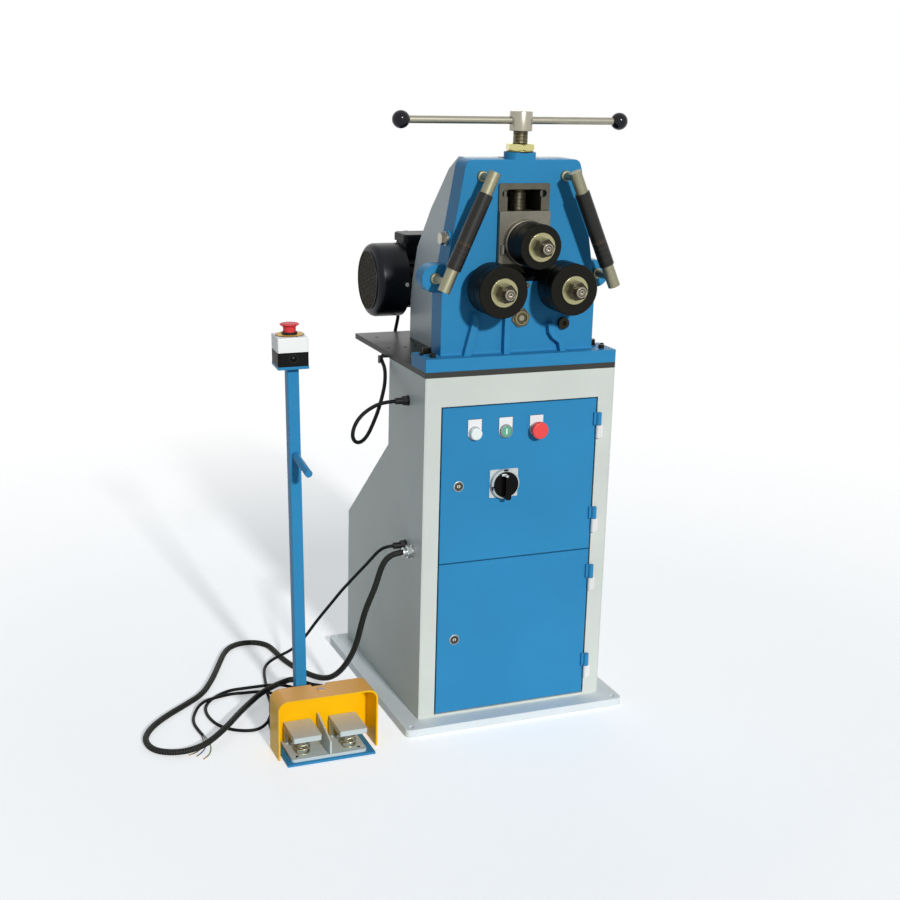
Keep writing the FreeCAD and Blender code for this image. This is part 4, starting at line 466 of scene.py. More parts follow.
# the bolts and fittings that aren't black: where each lies, its colour and its roughness
brightBolts = {"lockNut": (None, None, (1301, 1330), srgb(208, 202, 142), 0.26),
               "lockWasher": (None, None, (1290, 1301), srgb(60, 56, 48), 0.36),
               "sideBolt": ((-230, -120), (30, 90), (1090, 1140), srgb(176, 170, 156), 0.28),
               "cowlScrew": ((-160, -120), (370, 400), (940, 990), srgb(228, 224, 212), 0.20)}
boltFinish = steelFinish("boltGroup", srgb(44, 41, 38), 0.34, even, 0.4, zones=[
    (block(x, depth, z), tone, rough, 1.0) for x, depth, z, tone, rough in brightBolts.values()])
# the pale middle of the sight glass, the lens entry, is a painted highlight on the domed glass
oilFittings = {"glass": (4.2, 939.7, 12.5, srgb(84, 80, 62), 0.30),
               "lens": (4.2, 939.7, 6.0, srgb(150, 148, 128), 0.22),
               "plug": (108.5, 923.7, 30, srgb(46, 42, 36), 0.36)}
fittingsBronze = steelFinish("oilFittings", srgb(128, 118, 92), 0.32, even, 0.5, 0.0006, 0.2, [
    (about("Y", x, 0, z, radius), tone, rough, 1.0) for x, z, radius, tone, rough in oilFittings.values()])
conduitGland = {"depth": 61, "z": 408, "radius": 22, "colour": srgb(198, 204, 204)}
glandFinish = plasticFinish("glandBlack", srgb(16, 16, 18), 0.38, 0.1, zones=[
    (about("X", 0, conduitGland["depth"], conduitGland["z"], conduitGland["radius"]), conduitGland["colour"],
     0.24, 1.0)])
blackBall = plasticFinish("blackBall", srgb(5, 6, 16), 0.12, 0.02)
legendShadowBlack = plasticFinish("legendShadowBlack", srgb(18, 18, 20), 0.40)
whitePlastic = plasticFinish("whitePlastic", srgb(246, 244, 244), 0.35)
fanPlastic = plasticFinish("fanPlastic", srgb(12, 12, 12), 0.6)
panelGrey = plasticFinish("panelGrey", srgb(120, 124, 126), 0.45)
cableSheath = plasticFinish("cableSheath", srgb(15, 16, 18), 0.42, 0.15, gloss=0.12)
# the conduit's ribs are painted lighter than its black sheath, a painted highlight, and its grooves near
# black, painted shade
ribSheenFinish = plasticFinish("conduitRibSheen", srgb(52, 54, 48), 0.36, 0.05, rounding=0.0004, gloss=0.25)
grooveShadeFinish = plasticFinish("conduitGrooveShade", srgb(4, 4, 5), 0.6, 0.05, rounding=0.0004, gloss=0.05)

# the I on the start button, the pointer on the knob, and the I and 0 of the switch
buttonMark = {"x": (-38.8, -35.2), "depth": (-9, -7.7), "z": (685.4, 698.6), "colour": srgb(236, 240, 232)}
knobMark = {"x": (-50, -39.5), "depth": (-40, -19.5), "z": (592.3, 597.2), "colour": srgb(230, 230, 228)}
switchMarks = {"x": ((-43.5, -32.5), (-75, -67.6)), "depth": (-17, -12), "z": ((601.3, 610), (557, 568)),
               "colour": srgb(14, 14, 16)}
redTop = plasticFinish("redTop", srgb(246, 76, 74), 0.30, 0.03, 0.2)
stopTop = plasticFinish("stopTop", srgb(232, 66, 72), 0.46, 0.03)
startTop = plasticFinish("startTop", srgb(100, 178, 146), 0.30, 0.03, 0.2, zones=[
    (block(buttonMark["x"], buttonMark["depth"], buttonMark["z"]), buttonMark["colour"], 0.35, 0.0)])
knobFinish = plasticFinish("knobBlack", srgb(6, 6, 7), 0.22, 0.06, rounding=0.0008, gloss=0.1, zones=[
    (block(knobMark["x"], knobMark["depth"], knobMark["z"]), knobMark["colour"], 0.35, 0.0)])
switchFinish = plasticFinish("switchPale", srgb(208, 212, 210), 0.36, 0.05, zones=[
    (block(x, switchMarks["depth"], z), switchMarks["colour"], 0.4, 0.0)
    for x, z in zip(switchMarks["x"], switchMarks["z"])])

lock = {"x": -147.5, "upper": 572, "lower": 206, "body": 10.4, "slot": 4.0, "tone": srgb(186, 190, 190),
        "bodyTone": srgb(84, 86, 82), "coreTone": srgb(66, 66, 62), "slotTone": srgb(226, 220, 204)}
lamp = {"x": -112, "z": 692, "radius": 13.9, "depth": (-16, -3.8), "colour": srgb(238, 244, 240)}
startBezel = {"x": -37, "z": 692, "radius": 15.5, "colour": srgb(146, 160, 152)}
contactBlocks = {"depth": (2.5, 200), "colour": srgb(40, 40, 42)}


def lockZone(z, radius, tone, rough):
    return about("Y", lock["x"], 0, z, radius), tone, rough, 1.0


lampMask = about("Y", lamp["x"], 0, lamp["z"], lamp["radius"], 0.0, block(depth=lamp["depth"]))
fittingsFinish = steelFinish("upperFittings", lock["tone"], 0.22, even, 0.15, 0.0008, 0.1, [
    lockZone(lock["upper"], lock["body"], lock["bodyTone"], 0.34),
    (lampMask, lamp["colour"], 0.25, 0.0),
    (about("Y", startBezel["x"], 0, startBezel["z"], startBezel["radius"]), startBezel["colour"], 0.30, 0.3),
    (block(depth=contactBlocks["depth"]), contactBlocks["colour"], 0.5, 0.0)])
lowerFittings = steelFinish("lowerFittings", lock["tone"], 0.22, even, 0.15, 0.0008, 0.1, [
    lockZone(lock["lower"], lock["body"], lock["bodyTone"], 0.34)])
lockCore = steelFinish("lockCore", lock["coreTone"], 0.30, even, 0.2, 0.0005, 0.1, [
    lockZone(lock[place], lock["slot"], lock["slotTone"], 0.2) for place in ("upper", "lower")])

stopBox = {"lean": 1.33, "foot": -467.0, "ringLow": 903.1, "axis": (-491.0, 150.7), "label": 31,
           "collar": 17.3, "ring": (34, 30.4), "labelTone": srgb(240, 190, 70), "ringTone": srgb(40, 40, 56),
           "collarTone": srgb(22, 24, 28)}
knockout = {"x": -492.0, "z": 856.1, "radius": 8.2, "rim": 9.6, "glint": (-0.6, 2.4, 2.2),
            "rimTone": srgb(52, 48, 40), "tone": srgb(6, 6, 7), "glintTone": srgb(84, 86, 88)}


postLean = math.radians(stopBox["lean"])


def postAbove(height):
    # 1 above a height measured along the leaning post, in millimetres
    def mask(f):
        aside = f.axis("X") - stopBox["foot"] / 1000
        along = f.axis("Z") * math.cos(postLean) - aside * math.sin(postLean)
        return along.above(height / 1000)
    return mask


def tipZone(place, reach):
    # 1 within reach, in metres, of a point
    def mask(f):
        ends = {0: f.place, 1: tuple(place)}
        return f.add("ShaderNodeVectorMath", {"operation": "DISTANCE"}, ends, "Value").below(reach)
    return mask


def onRing(radius, inner=0.0):
    return about("Z", *stopBox["axis"], 0, radius, inner, postAbove(stopBox["ringLow"]))


def onKnockout(radius, inner=0.0, aside=0.0, up=0.0):
    return about("Y", knockout["x"] + aside, 0, knockout["z"] + up, radius, inner)


boxBase = plasticFinish("stopBoxBase", srgb(17, 18, 17), 0.40, rounding=0.0012, gloss=0.08, zones=[
    (onKnockout(knockout["rim"], knockout["radius"]), knockout["rimTone"], 0.5, 0.0),
    (onKnockout(knockout["radius"]), knockout["tone"], 0.22, 0.0),
    (onKnockout(knockout["glint"][2], 0.0, *knockout["glint"][:2]), knockout["glintTone"], 0.3, 0.0)])
lidFinish = plasticFinish("stopBoxLid", srgb(250, 250, 246), 0.34, 0.05, rounding=0.0008, zones=[
    (onRing(stopBox["label"]), stopBox["labelTone"], 0.5, 0.0),
    (onRing(*stopBox["ring"]), stopBox["ringTone"], 0.5, 0.0),
    (onRing(stopBox["collar"]), stopBox["collarTone"], 0.4, 0.0)])

# the CAD pieces that are shown as they are; the others are made again further down
nodeFinish = {
    trayPaint: ("base_tray",),
    cabinetPaint: ("cabinet_left_side", "cabinet_right_side", "cabinet_back", "cabinet_front_frame",
                   "cabinet_shelf"),
    hingePaint: ("hinge_pins",),
    bluePaint: ("upper_door", "lower_door", "pedestal_stand"),
    castPaint: ("head_casting",),
    coverPaintLightened: ("gear_cover",),
    platePaint: ("top_plate",),
    guardPaint: ("pedal_guard",),
    pedalPaint: ("pedal_base", "left_pedal", "right_pedal"),
    motorPaint: ("motor_frame",),
    castAluminium: ("worm_reducer",),
    groundSteel: ("slide_block",),
    machinedSteel: ("guide_frame", "left_gear", "right_gear", "idler_gear"),
    brightSteel: ("lower_bearings", "cross_bar"),
    rodSteel: ("guide_rods",),
    spindleFinish["leftSpindle"]: ("left_spindle",),
    spindleFinish["rightSpindle"]: ("right_spindle",),
    spindleFinish["upperSpindle"]: ("upper_spindle",),
    rollSteel: ("left_rolls", "right_rolls", "upper_rolls"),
    sleeveSteel: ("left_sleeve", "right_sleeve"),
    glandFinish: ("cable_glands",),
    boltFinish: ("fixing_bolts",),
    fittingsBronze: ("oil_fittings",),
    fittingsFinish: ("upper_door_fittings",),
    lowerFittings: ("lower_door_fittings",),
    lockCore: ("upper_lock", "lower_lock"),
    blackBall: ("ball_knobs",),
    knobFinish: ("switch_knob",),
    switchFinish: ("switch_plate",),
    startTop: ("start_button",),
    redTop: ("stop_button",),
    boxBase: ("estop_box_base",),
    lidFinish: ("estop_box_lid",),
    fanPlastic: ("motor_fan",),
    panelGrey: ("electrical_panel",),
}
for finish, names in nodeFinish.items():
    for name in names:
        for materialSlot in cadNodes[name].material_slots:
            materialSlot.material = finish
print("finishes set")

conduitRoute = (
    (-255, 61, 408), (-270, 61.3, 406.5), (-283.5, 63.5, 401), (-295, 68.5, 387.5), (-303, 75.5, 361),
    (-311, 83, 321), (-327, 98, 268), (-333, 114, 221), (-336, 135, 168), (-340, 170, 117), (-346, 222, 63),
    (-356, 268, 27), (-370, 308, 10), (-392, 350, 7.3), (-414, 408, 7.3), (-427, 469, 7.3),
    (-432, 518, 7.3), (-438, 557, 7.3), (-464, 585, 7.3), (-501, 591, 7.3), (-534, 574, 7.3),
    (-556, 542, 7.3), (-576, 498, 7.3), (-598, 446, 7.3), (-622, 392, 7.3), (-662, 317, 7.3),
    (-714, 271, 7.3), (-768, 226, 7.3), (-812, 178, 7.3), (-838, 122, 7.3), (-826, 62, 7.3),
    (-774, 35, 8), (-724, 40, 13), (-689, 62, 20), (-652, 98, 26), (-607, 168, 20),
    (-568, 218, 18), (-540, 241, 24), (-508, 260, 28), (-478, 280, 26), (-442, 300, 24),
    (-407, 281, 8.5), (-379, 263, 7.5), (-365, 234, 7.5), (-369, 208, 11), (-386, 182, 17),
    (-410, 156, 17), (-430, 126, 19), (-444, 92, 25), (-450, 54, 28))
mainsRoute = (
    (-262, 103, 410), (-274, 103.8, 409.5), (-285, 108, 405), (-293.5, 118, 394), (-300, 137, 374),
    (-307, 161, 349), (-319, 185, 321), (-330, 209, 293), (-341, 236, 263), (-354, 262, 228),
    (-368, 290, 191), (-382, 317, 154), (-394, 349, 112), (-405, 387, 72), (-417, 423, 42),
    (-433, 449, 22), (-456, 453, 10), (-478, 434, 4.6), (-491, 394, 4.2), (-500, 345, 4.2),
    (-512, 288, 4.2), (-518, 240, 4.2), (-522, 216, 8), (-528, 192, 13), (-536, 165, 13),
    (-541, 140, 13), (-553, 117, 12.5), (-570, 102, 7), (-590, 96, 4.2), (-614, 101, 4.2),
    (-640, 116, 4.2), (-664, 146, 4.2), (-676, 196, 4.2), (-673, 248, 4.2), (-648, 290, 4.2),
    (-599, 324, 4.2), (-556, 322, 5), (-524, 313, 9), (-496, 304, 12.8), (-468, 295, 12),
    (-444, 280, 7), (-430, 256, 4.2), (-434, 229, 4.2), (-455, 213, 4.2), (-480, 220, 9),
    (-499, 242, 13), (-516, 267, 13), (-538, 288, 8), (-566, 298, 4.2), (-592, 303, 4.2),
    (-622, 297, 4.6), (-648, 281, 9), (-668, 266, 12.8), (-687, 249, 10), (-702, 224, 4.6),
    (-713, 190, 4.2), (-714, 150, 4.2), (-708, 112, 4.2))
motorRoute = (
    (-85, 543, 1066), (-85, 566, 1059), (-87, 586, 1036), (-91, 594, 1000), (-96, 590, 962), (-101, 574, 925),
    (-99, 547, 893), (-103, 522, 866), (-120, 500, 832), (-129, 480, 806), (-144, 448, 798),
    (-164, 410, 801), (-186, 370, 807), (-210, 325, 811), (-232, 287, 812), (-239, 262, 810),
    (-242, 228, 797), (-253, 197, 770), (-270, 169, 744), (-288, 144, 719), (-306, 124, 697),
    (-325, 106, 675), (-343, 95, 664), (-359, 88, 666), (-368, 85, 680), (-364, 88, 700),
    (-351, 93, 719), (-331, 98, 734), (-306, 102, 745), (-285, 103.6, 749), (-262, 103.6, 750))
coreRoutes = (
    ((-708, 112), (-705, 86), (-713, 56), (-727, 32), (-741, 20)),
    ((-710.5, 112), (-710.5, 84), (-724, 52), (-741, 36), (-756, 30)),
    ((-705.5, 112), (-699, 84), (-703, 44), (-714, 16), (-730, 2)))
coreColours = (srgb(62, 92, 150), srgb(96, 58, 36), srgb(122, 140, 52))
cordSize = {"mains": 0.00375, "motor": 0.0043, "roundness": 6, "stepsPerPoint": 8}      # radii in metres


def cordCurve(name, route, radius):
    curve = bpy.data.curves.new(name, "CURVE")
    curve.dimensions, curve.bevel_depth, curve.bevel_resolution = "3D", radius, cordSize["roundness"]
    curve.resolution_u, curve.use_fill_caps = cordSize["stepsPerPoint"], True
    line = curve.splines.new("NURBS")
    line.points.add(len(route) - 1)
    for point, place in zip(line.points, route):
        point.co = (*spot(*place), 1.0)
    line.order_u, line.use_endpoint_u = 3, True
    piece = bpy.data.objects.new(name, curve)
    bpy.context.collection.objects.link(piece)
    return piece


def splinePoints(route):
    piece = cordCurve("routeLine", route, 0.0)
    bpy.context.view_layer.update()
    mesh = bpy.data.meshes.new_from_object(piece.evaluated_get(bpy.context.evaluated_depsgraph_get()))
    points = [v.co.copy() for v in mesh.vertices]
    bpy.data.objects.remove(piece)
    return points


def pathLength(points):
    return sum((b - a).length for a, b in zip(points, points[1:]))


def evenly(points, step):
    # the same line at even steps, in metres
    out, left = [points[0].copy()], step
    for a, b in zip(points, points[1:]):
        span, done = (b - a).length, 0.0
        while span - done > left:
            done += left
            out.append(a.lerp(b, done / span))
            left = step
        left -= span - done
    return out + [points[-1].copy()]


def sheathedCord(name, node, route, radius):
    piece = cordCurve(name, route, radius)
    piece.data.materials.append(cableSheath)
    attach(piece, "machine")
    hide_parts(node)
    tuple(spot(*route[0]))
    pathLength(splinePoints(route))


sheathedCord("mainsCordLine", "mains_cord", mainsRoute, cordSize["mains"])
sheathedCord("motorCableLine", "motor_cable", motorRoute, cordSize["motor"])

conduit = {"radius": 7.0, "groove": 0.9, "pitch": 3.4, "stepsPerRib": 4, "sides": 18}
conduitPath = evenly(splinePoints(conduitRoute), conduit["pitch"] / conduit["stepsPerRib"] / 1000)


def ribRadius(i):
    inGroove = i % conduit["stepsPerRib"] == 0
    return (conduit["radius"] - (conduit["groove"] if inGroove else 0.0)) / 1000


conduitMesh = tubeMesh("footSwitchConduit", conduitPath, ribRadius, conduit["sides"])
conduitPiece = addPiece("footSwitchConduit", conduitMesh, "machine", ribSheenFinish,
                        ["foot_switch_conduit"], angle=60.0)
conduitPiece.data.materials.append(grooveShadeFinish)
# the faces beside each groove take the near-black finish: painted shade in the grooves
for face in conduitPiece.data.polygons:
    if face.index // conduit["sides"] % conduit["stepsPerRib"] in (0, conduit["stepsPerRib"] - 1):
        face.material_index = 1                 # the two bands that meet in a groove
tuple(spot(*conduitRoute[0]))
pathLength(conduitPath)
print("cords laid")

legend = {"face": -0.5, "width": 32.6, "top": 31.0, "bore": 14.9, "shadowThickness": 0.5, "shadowBorder": 0.7,
          "plate": 0.7, "bevel": 0.2, "steps": 96, "buttonZ": 692.0, "buttons": (-112.0, -37.0, 38.5)}


def legendRadius(angle, border):
    # from the button's middle to the plate's edge: a half round below, straight sides and top above
    half, across, up = legend["width"] / 2 + border, abs(math.cos(angle)), math.sin(angle)
    if up <= 0:
        return half
    return min(half / max(across, 1e-6), (legend["top"] + border) / up)


def legendPlate(name, x, back, front, border, finish):
    corner = math.atan2(legend["top"] + border, legend["width"] / 2 + border)
    turns = [2 * math.pi * i / legend["steps"] for i in range(legend["steps"])]
    angles = sorted(turns + [corner, math.pi - corner])
    rings, bevel = [], legend["bevel"]
    for depth, inset, bored in ((back, 0, True), (back, 0, False), (front + bevel, 0, False),
                                (front, bevel, False), (front, 0, True)):
        radii = [legend["bore"] if bored else legendRadius(a, border) - inset for a in angles]
        rings.append([spot(x + r * math.cos(a), depth, legend["buttonZ"] + r * math.sin(a))
                      for a, r in zip(angles, radii)])
    mesh = gridMesh(name, rings + [rings[0]], caps=False)
    addPiece(name, mesh, "upper_door", finish, angle=40.0)


# each white plate sits on a black sheet a little larger than itself: a painted shadow outline round the plate
for number, buttonX in enumerate(legend["buttons"]):
    shadowSheetFront = legend["face"] - legend["shadowThickness"]
    legendPlate("legendShadowOutline%d" % (number + 1), buttonX, legend["face"], shadowSheetFront, legend["shadowBorder"],
                legendShadowBlack)
    legendPlate("legendPlate%d" % (number + 1), buttonX, shadowSheetFront, shadowSheetFront - legend["plate"], 0.0,
                whitePlastic)
print("legend plates made")

feedScrew = {"depth": 59.0, "radius": 16.5, "cut": 1.3, "pitch": 3.0, "low": 1172.0, "high": 1344.0,
             "pin": 12.0, "pinLow": 1151.0, "hub": (1343.0, 1385.0, 25.0), "bar": 8.05, "barHalf": 60,
             "barZ": 1365.0, "hubSides": 72, "pinSides": 48, "chamfer": 1, "crown": (3, 0.9),
             "groove": 15.95, "hubTop": 1390,
             "tone": srgb(168, 160, 136), "threadRootShade": srgb(58, 54, 44), "hubTone": srgb(172, 168, 152)}
threadHeight = block(z=(feedScrew["low"], feedScrew["hub"][0]))
# the thread's roots, inside the groove radius, are painted darker: painted shade between the threads
screwFinish = steelFinish("feedScrewSteel", feedScrew["tone"], 0.30, even, 0.45, 0.0002, streak=0.2, zones=[
    (about("Z", 0, feedScrew["depth"], 0, feedScrew["groove"], 0.0, threadHeight),
     feedScrew["threadRootShade"], 0.45, 1.0),
    (block(z=(feedScrew["hub"][0], feedScrew["hubTop"])), feedScrew["hubTone"], 0.26, 0.75)])


def boredHub(middle):
    s = feedScrew
    (low, high, radius), (crown, edge) = s["hub"], s["crown"]
    profile = [(radius - s["chamfer"], low), (radius, low + s["chamfer"]), (radius, high - crown),
               (radius - edge, high - edge), (radius - crown, high)]
    hub = turned("hubBody", profile, middle, (0, 0, 1), s["hubSides"])
    barEnds = [(s["bar"], -s["barHalf"]), (s["bar"], s["barHalf"])]
    bore = turned("barBore", barEnds, spot(0, s["depth"], s["barZ"]), (1, 0, 0))
    hubPiece, cutter = bpy.data.objects.new("hubBody", hub), bpy.data.objects.new("barBore", bore)
    for piece in (hubPiece, cutter):
        bpy.context.collection.objects.link(piece)
    modifier = hubPiece.modifiers.new("bore", "BOOLEAN")
    modifier.object, modifier.solver = cutter, "EXACT"
    bpy.context.view_layer.update()
    bored = bpy.data.meshes.new_from_object(hubPiece.evaluated_get(bpy.context.evaluated_depsgraph_get()))
    for piece in (hubPiece, cutter):
        bpy.data.objects.remove(piece)
    return bored


def feedScrewMesh():
    s, upright = feedScrew, (0, 0, 1)
    middle = spot(0, s["depth"], 0)
    pin = turned("screwPin", [(s["pin"] - s["chamfer"], s["pinLow"]), (s["pin"], s["pinLow"] + s["chamfer"]),
                              (s["pin"], s["low"] + 1)], middle, upright, s["pinSides"])
    thread = threadMesh("screwThread", s["radius"], s["cut"], s["pitch"], middle, upright, s["low"],
                        s["high"])
    work = bmesh.new()
    for part in (boredHub(middle), pin, thread):
        work.from_mesh(part)
    joined = bpy.data.meshes.new("feedScrew")
    work.to_mesh(joined)
    work.free()
    return joined


addPiece("feedScrew", feedScrewMesh(), "lead_screw", screwFinish, ["lead_screw"], angle=35.0)
print("feed screw made")

# the stop button's stem and cap: radius and height along the leaning post
mushroom = {"shift": -3.0, "profile": (
    (10.0, 875.1), (11.0, 876.1), (11.0, 909.0), (13.9, 909.2), (13.9, 918.6), (14.3, 920.6), (15.8, 922.4),
    (18.4, 923.8), (20.4, 924.9), (21.0, 926.0), (20.7, 927.1), (19.6, 927.8), (17.6, 928.1), (8.0, 928.0),
    (0.0, 927.9))}
stemFoot = spot(stopBox["foot"] + mushroom["shift"], stopBox["axis"][1], 0.0)
upPost = (-math.sin(postLean), 0.0, math.cos(postLean))
stemMesh = turned("stopMushroom", mushroom["profile"], stemFoot, upPost)
addPiece("stopMushroom", stemMesh, "estop_button", stopTop, ["estop_button"], angle=40.0)
print("stop mushroom made")

cowl = {"start": -121.0, "face": -199.0, "grille": -201.5, "radius": 89.0, "wall": 2.5, "round": 17.0,
        "depth": 481.0, "z": 963.5, "mouth": 70.0, "rim": (2, 0.5, 1.5), "lip": (62.2, 3.0),
        "collar": (1.5, -113.0), "pitch": 7.0, "wires": ((45, 0.0, 2.4), (135, 0.8, 1.0)), "behind": 0.6,
        "thick": 0.8, "sides": 96, "roundSteps": 8}


def cowlProfile():
    # radius and place along the motor's axis: the wall's outside, the rolled mouth, and back inside
    c = cowl
    outer, inner = [], []
    small, middle = c["round"] - c["wall"], c["radius"] - c["round"]
    for i in range(c["roundSteps"] + 1):
        a = math.radians(90 * i / c["roundSteps"])
        outer.append((middle + c["round"] * math.cos(a), c["face"] + c["round"] - c["round"] * math.sin(a)))
        inner.append((middle + small * math.cos(a), c["face"] + c["wall"] + small - small * math.sin(a)))
    wide, proud, deep = c["rim"]
    mouth = [(c["mouth"] + wide, c["face"]), (c["mouth"] + wide, c["grille"]),
             (c["mouth"], c["grille"] - proud), (c["mouth"], c["face"] + deep)]
    lipRadius, lipEdge = c["lip"][0], c["start"] - c["lip"][1]
    collarRadius, collarEdge = lipRadius + c["collar"][0], c["collar"][1]
    lip = [(c["radius"] - c["wall"], lipEdge), (lipRadius, lipEdge), (lipRadius, collarEdge),
           (collarRadius, collarEdge), (collarRadius, c["start"])]      # closes the gap round the motor
    return [(c["radius"], c["start"])] + outer + mouth + list(reversed(inner)) + lip


def cowlShell():
    c, side, up = cowl, Vector((0, 1, 0)), Vector((0, 0, 1))
    turns = [2 * math.pi * j / c["sides"] for j in range(c["sides"])]
    rings = [[spot(along, c["depth"], c["z"]) + (side * math.cos(t) + up * math.sin(t)) * radius / 1000
              for t in turns] for radius, along in cowlProfile()]
    return gridMesh("cowlShell", rings + [rings[0]], caps=False)


def addWire(work, offset, turn, layer, wire):
    # one flat wire of the grille, across the mouth at this distance from its middle
    c = cowl
    half, corners = math.sqrt(c["mouth"] ** 2 - offset ** 2), []
    for along in (-half, half):
        for across in (-wire / 2, wire / 2):
            for deep in (0.0, c["thick"]):
                y = along * math.cos(turn) - (offset + across) * math.sin(turn)
                z = along * math.sin(turn) + (offset + across) * math.cos(turn)
                place = spot(c["grille"] + c["behind"] + layer + deep, c["depth"] + y, c["z"] + z)
                corners.append(work.verts.new(place))
    for face in ((0, 1, 3, 2), (4, 6, 7, 5), (0, 2, 6, 4), (1, 5, 7, 3), (0, 4, 5, 1), (2, 3, 7, 6)):
        work.faces.new([corners[i] for i in face])


def cowlGrille():
    work = bmesh.new()
    count = int(cowl["mouth"] / cowl["pitch"])
    for degrees, layer, wire in cowl["wires"]:
        for i in range(-count, count + 1):
            addWire(work, i * cowl["pitch"], math.radians(degrees), layer, wire)
    bmesh.ops.recalc_face_normals(work, faces=work.faces)
    mesh = bpy.data.meshes.new("cowlGrille")
    work.to_mesh(mesh)
    work.free()
    return mesh


cowlPaint = paintFinish("cowlPaint", srgb(10, 13, 21), 0.32, 0.10, 0.02, rounding=0.0010, gloss=0.22)
grillePaint = paintFinish("grillePaint", srgb(66, 60, 44), 0.50, 0.10, 0.10, rounding=0.0004)
addPiece("cowlShell", cowlShell(), "machine", cowlPaint, ["motor_cowl"], angle=40.0)
addPiece("cowlGrille", cowlGrille(), "machine", grillePaint, ["motor_cowl"])
print("motor cowl made")

spring = {"radius": 14.5, "wire": 1.6, "turns": 5, "stepsPerTurn": 24, "sides": 12, "low": 12.0, "high": 54.0,
          "clear": 0.1, "flatTurn": 0.8, "flatShare": 0.04, "keep": 0.55, "left": (-523.5, -57.0),
          "right": (-417.5, -57.0)}


def springRise(turn):
    # the share of the height reached after this many turns, nearly flat in the end turns
    flat, turns, share = spring["flatTurn"], spring["turns"], spring["flatShare"]
    opened = min(1.0, max(0.0, (turn - flat) / (turns - 2 * flat)))
    return share + (1 - 2 * share) * opened + share * (turn / turns * 2 - 1)


def springPiece(side):
    x, depth = spring[side]
    low = spring["low"] + spring["wire"] + spring["clear"]
    high = spring["high"] - spring["wire"] - spring["clear"]
    path, steps = [], spring["turns"] * spring["stepsPerTurn"]
    for i in range(steps + 1):
        turn = spring["turns"] * i / steps
        angle = 2 * math.pi * turn
        path.append(spot(x + spring["radius"] * math.cos(angle), depth + spring["radius"] * math.sin(angle),
                         low + (high - low) * springRise(turn)))
    mesh = tubeMesh(side + "Spring", path, lambda i: spring["wire"] / 1000, spring["sides"])
    piece = addPiece(side + "PedalSpring", mesh, "machine", springSteel,
                     [side + "_pedal_spring"], angle=50.0)
    tuple(spot(x, depth, spring["low"]))
    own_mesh(piece)


for side in ("left", "right"):
    springPiece(side)
print("springs made")

coreSize = {"radius": 1.2, "height": 1.5, "start": 4.2, "bare": 0.010, "copper": srgb(196, 150, 96)}

for number, (route, colour) in enumerate(zip(coreRoutes, coreColours)):
    places = [(x, y, coreSize["start"] if i == 0 else coreSize["height"]) for i, (x, y) in enumerate(route)]
    finish = plasticFinish("coreSheath%d" % (number + 1), colour, 0.35, zones=[
        (tipZone(spot(*places[-1]), coreSize["bare"]), coreSize["copper"], 0.35, 1.0)])
    corePiece = cordCurve("mainsCore%d" % (number + 1), places, coreSize["radius"] / 1000)
    corePiece.data.materials.append(finish)
    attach(corePiece, "machine")
    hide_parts("mains_wires")
    tuple(spot(*places[0]))
    pathLength(splinePoints(places))
    2 * coreSize["radius"] / 1000
print("cores made")

# focal is in pixels of a frame that is this many pixels wide, and the sensor in millimetres
view = {"place": (-1.33541, -3.07612, 1.48877), "yaw": 22.4058, "pitch": 15.2050, "roll": 1.5287,
        "focal": 1438.5, "pixels": 900, "sensor": 36.0}


def setCamera():
    yaw, pitch, roll = (math.radians(view[k]) for k in ("yaw", "pitch", "roll"))
    ahead = Vector((math.sin(yaw) * math.cos(pitch), math.cos(yaw) * math.cos(pitch), -math.sin(pitch)))
    right = Vector((math.cos(yaw), -math.sin(yaw), 0))
    up = right.cross(ahead)
    side = right * math.cos(roll) + up * math.sin(roll)
    top = up * math.cos(roll) - right * math.sin(roll)
    data = bpy.data.cameras.new("viewCamera")
    data.sensor_width, data.lens = view["sensor"], view["focal"] / view["pixels"] * view["sensor"]
    camera = bpy.data.objects.new("viewCamera", data)
    camera.matrix_world = Matrix((side, top, -ahead)).transposed().to_4x4()
    camera.location = view["place"]
    bpy.context.collection.objects.link(camera)
    bpy.context.scene.camera = camera


light = {"sunFrom": (0.03, -0.915, 0.403), "sunStrength": 2.36, "sunSpread": 4.0, "ambient": 0.25,
         "ambientTone": (0.76, 0.89, 1.0, 1.0), "rearFrom": (0.9, 3.2, 2.2), "rearAim": (0, 0, 0.7),
         "rearPower": 14.0, "rearSize": 2.5, "floorLift": 0.40}
white = (1.0, 1.0, 1.0, 1.0)


def setLight():
    sun = bpy.data.lights.new("keySun", "SUN")
    sun.energy, sun.angle = light["sunStrength"], math.radians(light["sunSpread"])
    sunPiece = bpy.data.objects.new("keySun", sun)
    sunPiece.rotation_euler = Vector(light["sunFrom"]).to_track_quat("Z", "Y").to_euler()
    bpy.context.collection.objects.link(sunPiece)
    rear = bpy.data.lights.new("rearPanel", "AREA")
    rear.energy, rear.size = light["rearPower"], light["rearSize"]
    panel = bpy.data.objects.new("rearPanel", rear)
    panel.location = light["rearFrom"]
    back = Vector(light["rearFrom"]) - Vector(light["rearAim"])
    panel.rotation_euler = back.to_track_quat("Z", "Y").to_euler()
    bpy.context.collection.objects.link(panel)


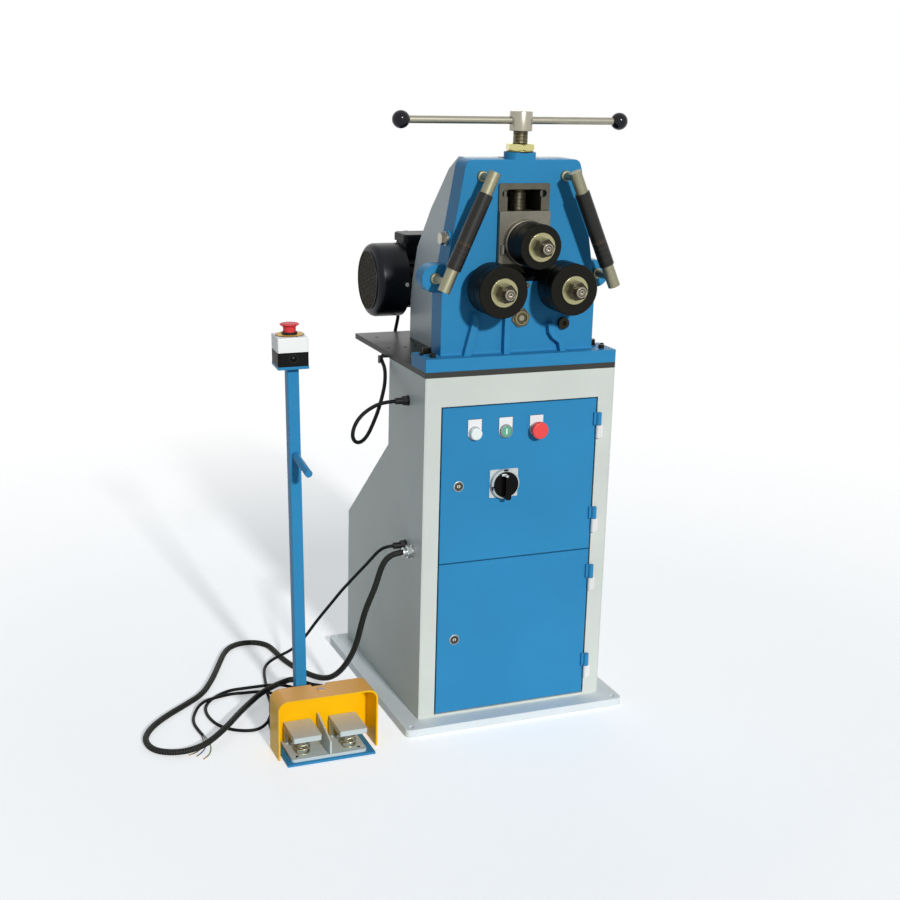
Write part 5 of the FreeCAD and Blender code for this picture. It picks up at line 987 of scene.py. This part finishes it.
def setWorld():
    world = bpy.data.worlds.new("studio")
    sky = Nodes(world)
    seen = sky.seenRay()
    levels = {"Value": seen, "To Min": light["ambient"], "To Max": 1.0}
    strength = sky.add("ShaderNodeMapRange", {}, levels, "Result")
    tone = sky.mix(seen, light["ambientTone"], white)
    background = sky.add("ShaderNodeBackground", {}, {"Color": tone, "Strength": strength})
    sky.add("ShaderNodeOutputWorld", {}, {"Surface": background})
    bpy.context.scene.world = world


floorSheet = {"reach": 9.0, "drop": 0.0004, "fadeFrom": 1.0, "fadeTo": 2.6, "grain": (30.0, 3.0),
              "roughness": 0.9, "gloss": 0.1,
              "low": (0.86, 0.86, 0.86, 1.0), "high": (0.90, 0.90, 0.90, 1.0)}


def setFloor():
    # a pale floor that keeps the shadow and fades into the background
    f, s = Finish("paleFloor"), floorSheet
    tone = f.mix(f.noise(*s["grain"]), s["low"], s["high"])
    ground = f.add("ShaderNodeBsdfPrincipled", {}, {
        "Base Color": tone, "Roughness": s["roughness"], "Specular IOR Level": s["gloss"]})
    glow = f.add("ShaderNodeEmission", {}, {"Color": white, "Strength": f.seenRay() * light["floorLift"]})
    lifted = f.add("ShaderNodeAddShader", {}, {0: ground, 1: glow})
    clear = f.add("ShaderNodeBsdfTransparent")
    away = f.add("ShaderNodeVectorMath", {"operation": "LENGTH"}, {0: f.place}, "Value")
    fade = f.ramp(away, s["fadeFrom"], s["fadeTo"])
    material = f.close(f.add("ShaderNodeMixShader", {}, {0: fade, 1: lifted, 2: clear}))
    reach, level = s["reach"], -s["drop"]
    mesh = bpy.data.meshes.new("floorSheet")
    corners = [(-reach, -reach, level), (reach, -reach, level), (reach, reach, level), (-reach, reach, level)]
    mesh.from_pydata(corners, [], [(0, 1, 2, 3)])
    mesh.materials.append(material)
    sheet = bpy.data.objects.new("floorSheet", mesh)
    bpy.context.collection.objects.link(sheet)


setCamera()
setLight()
setWorld()
setFloor()
bpy.context.scene.view_settings.view_transform = "Standard"
print("camera, light and floor set")
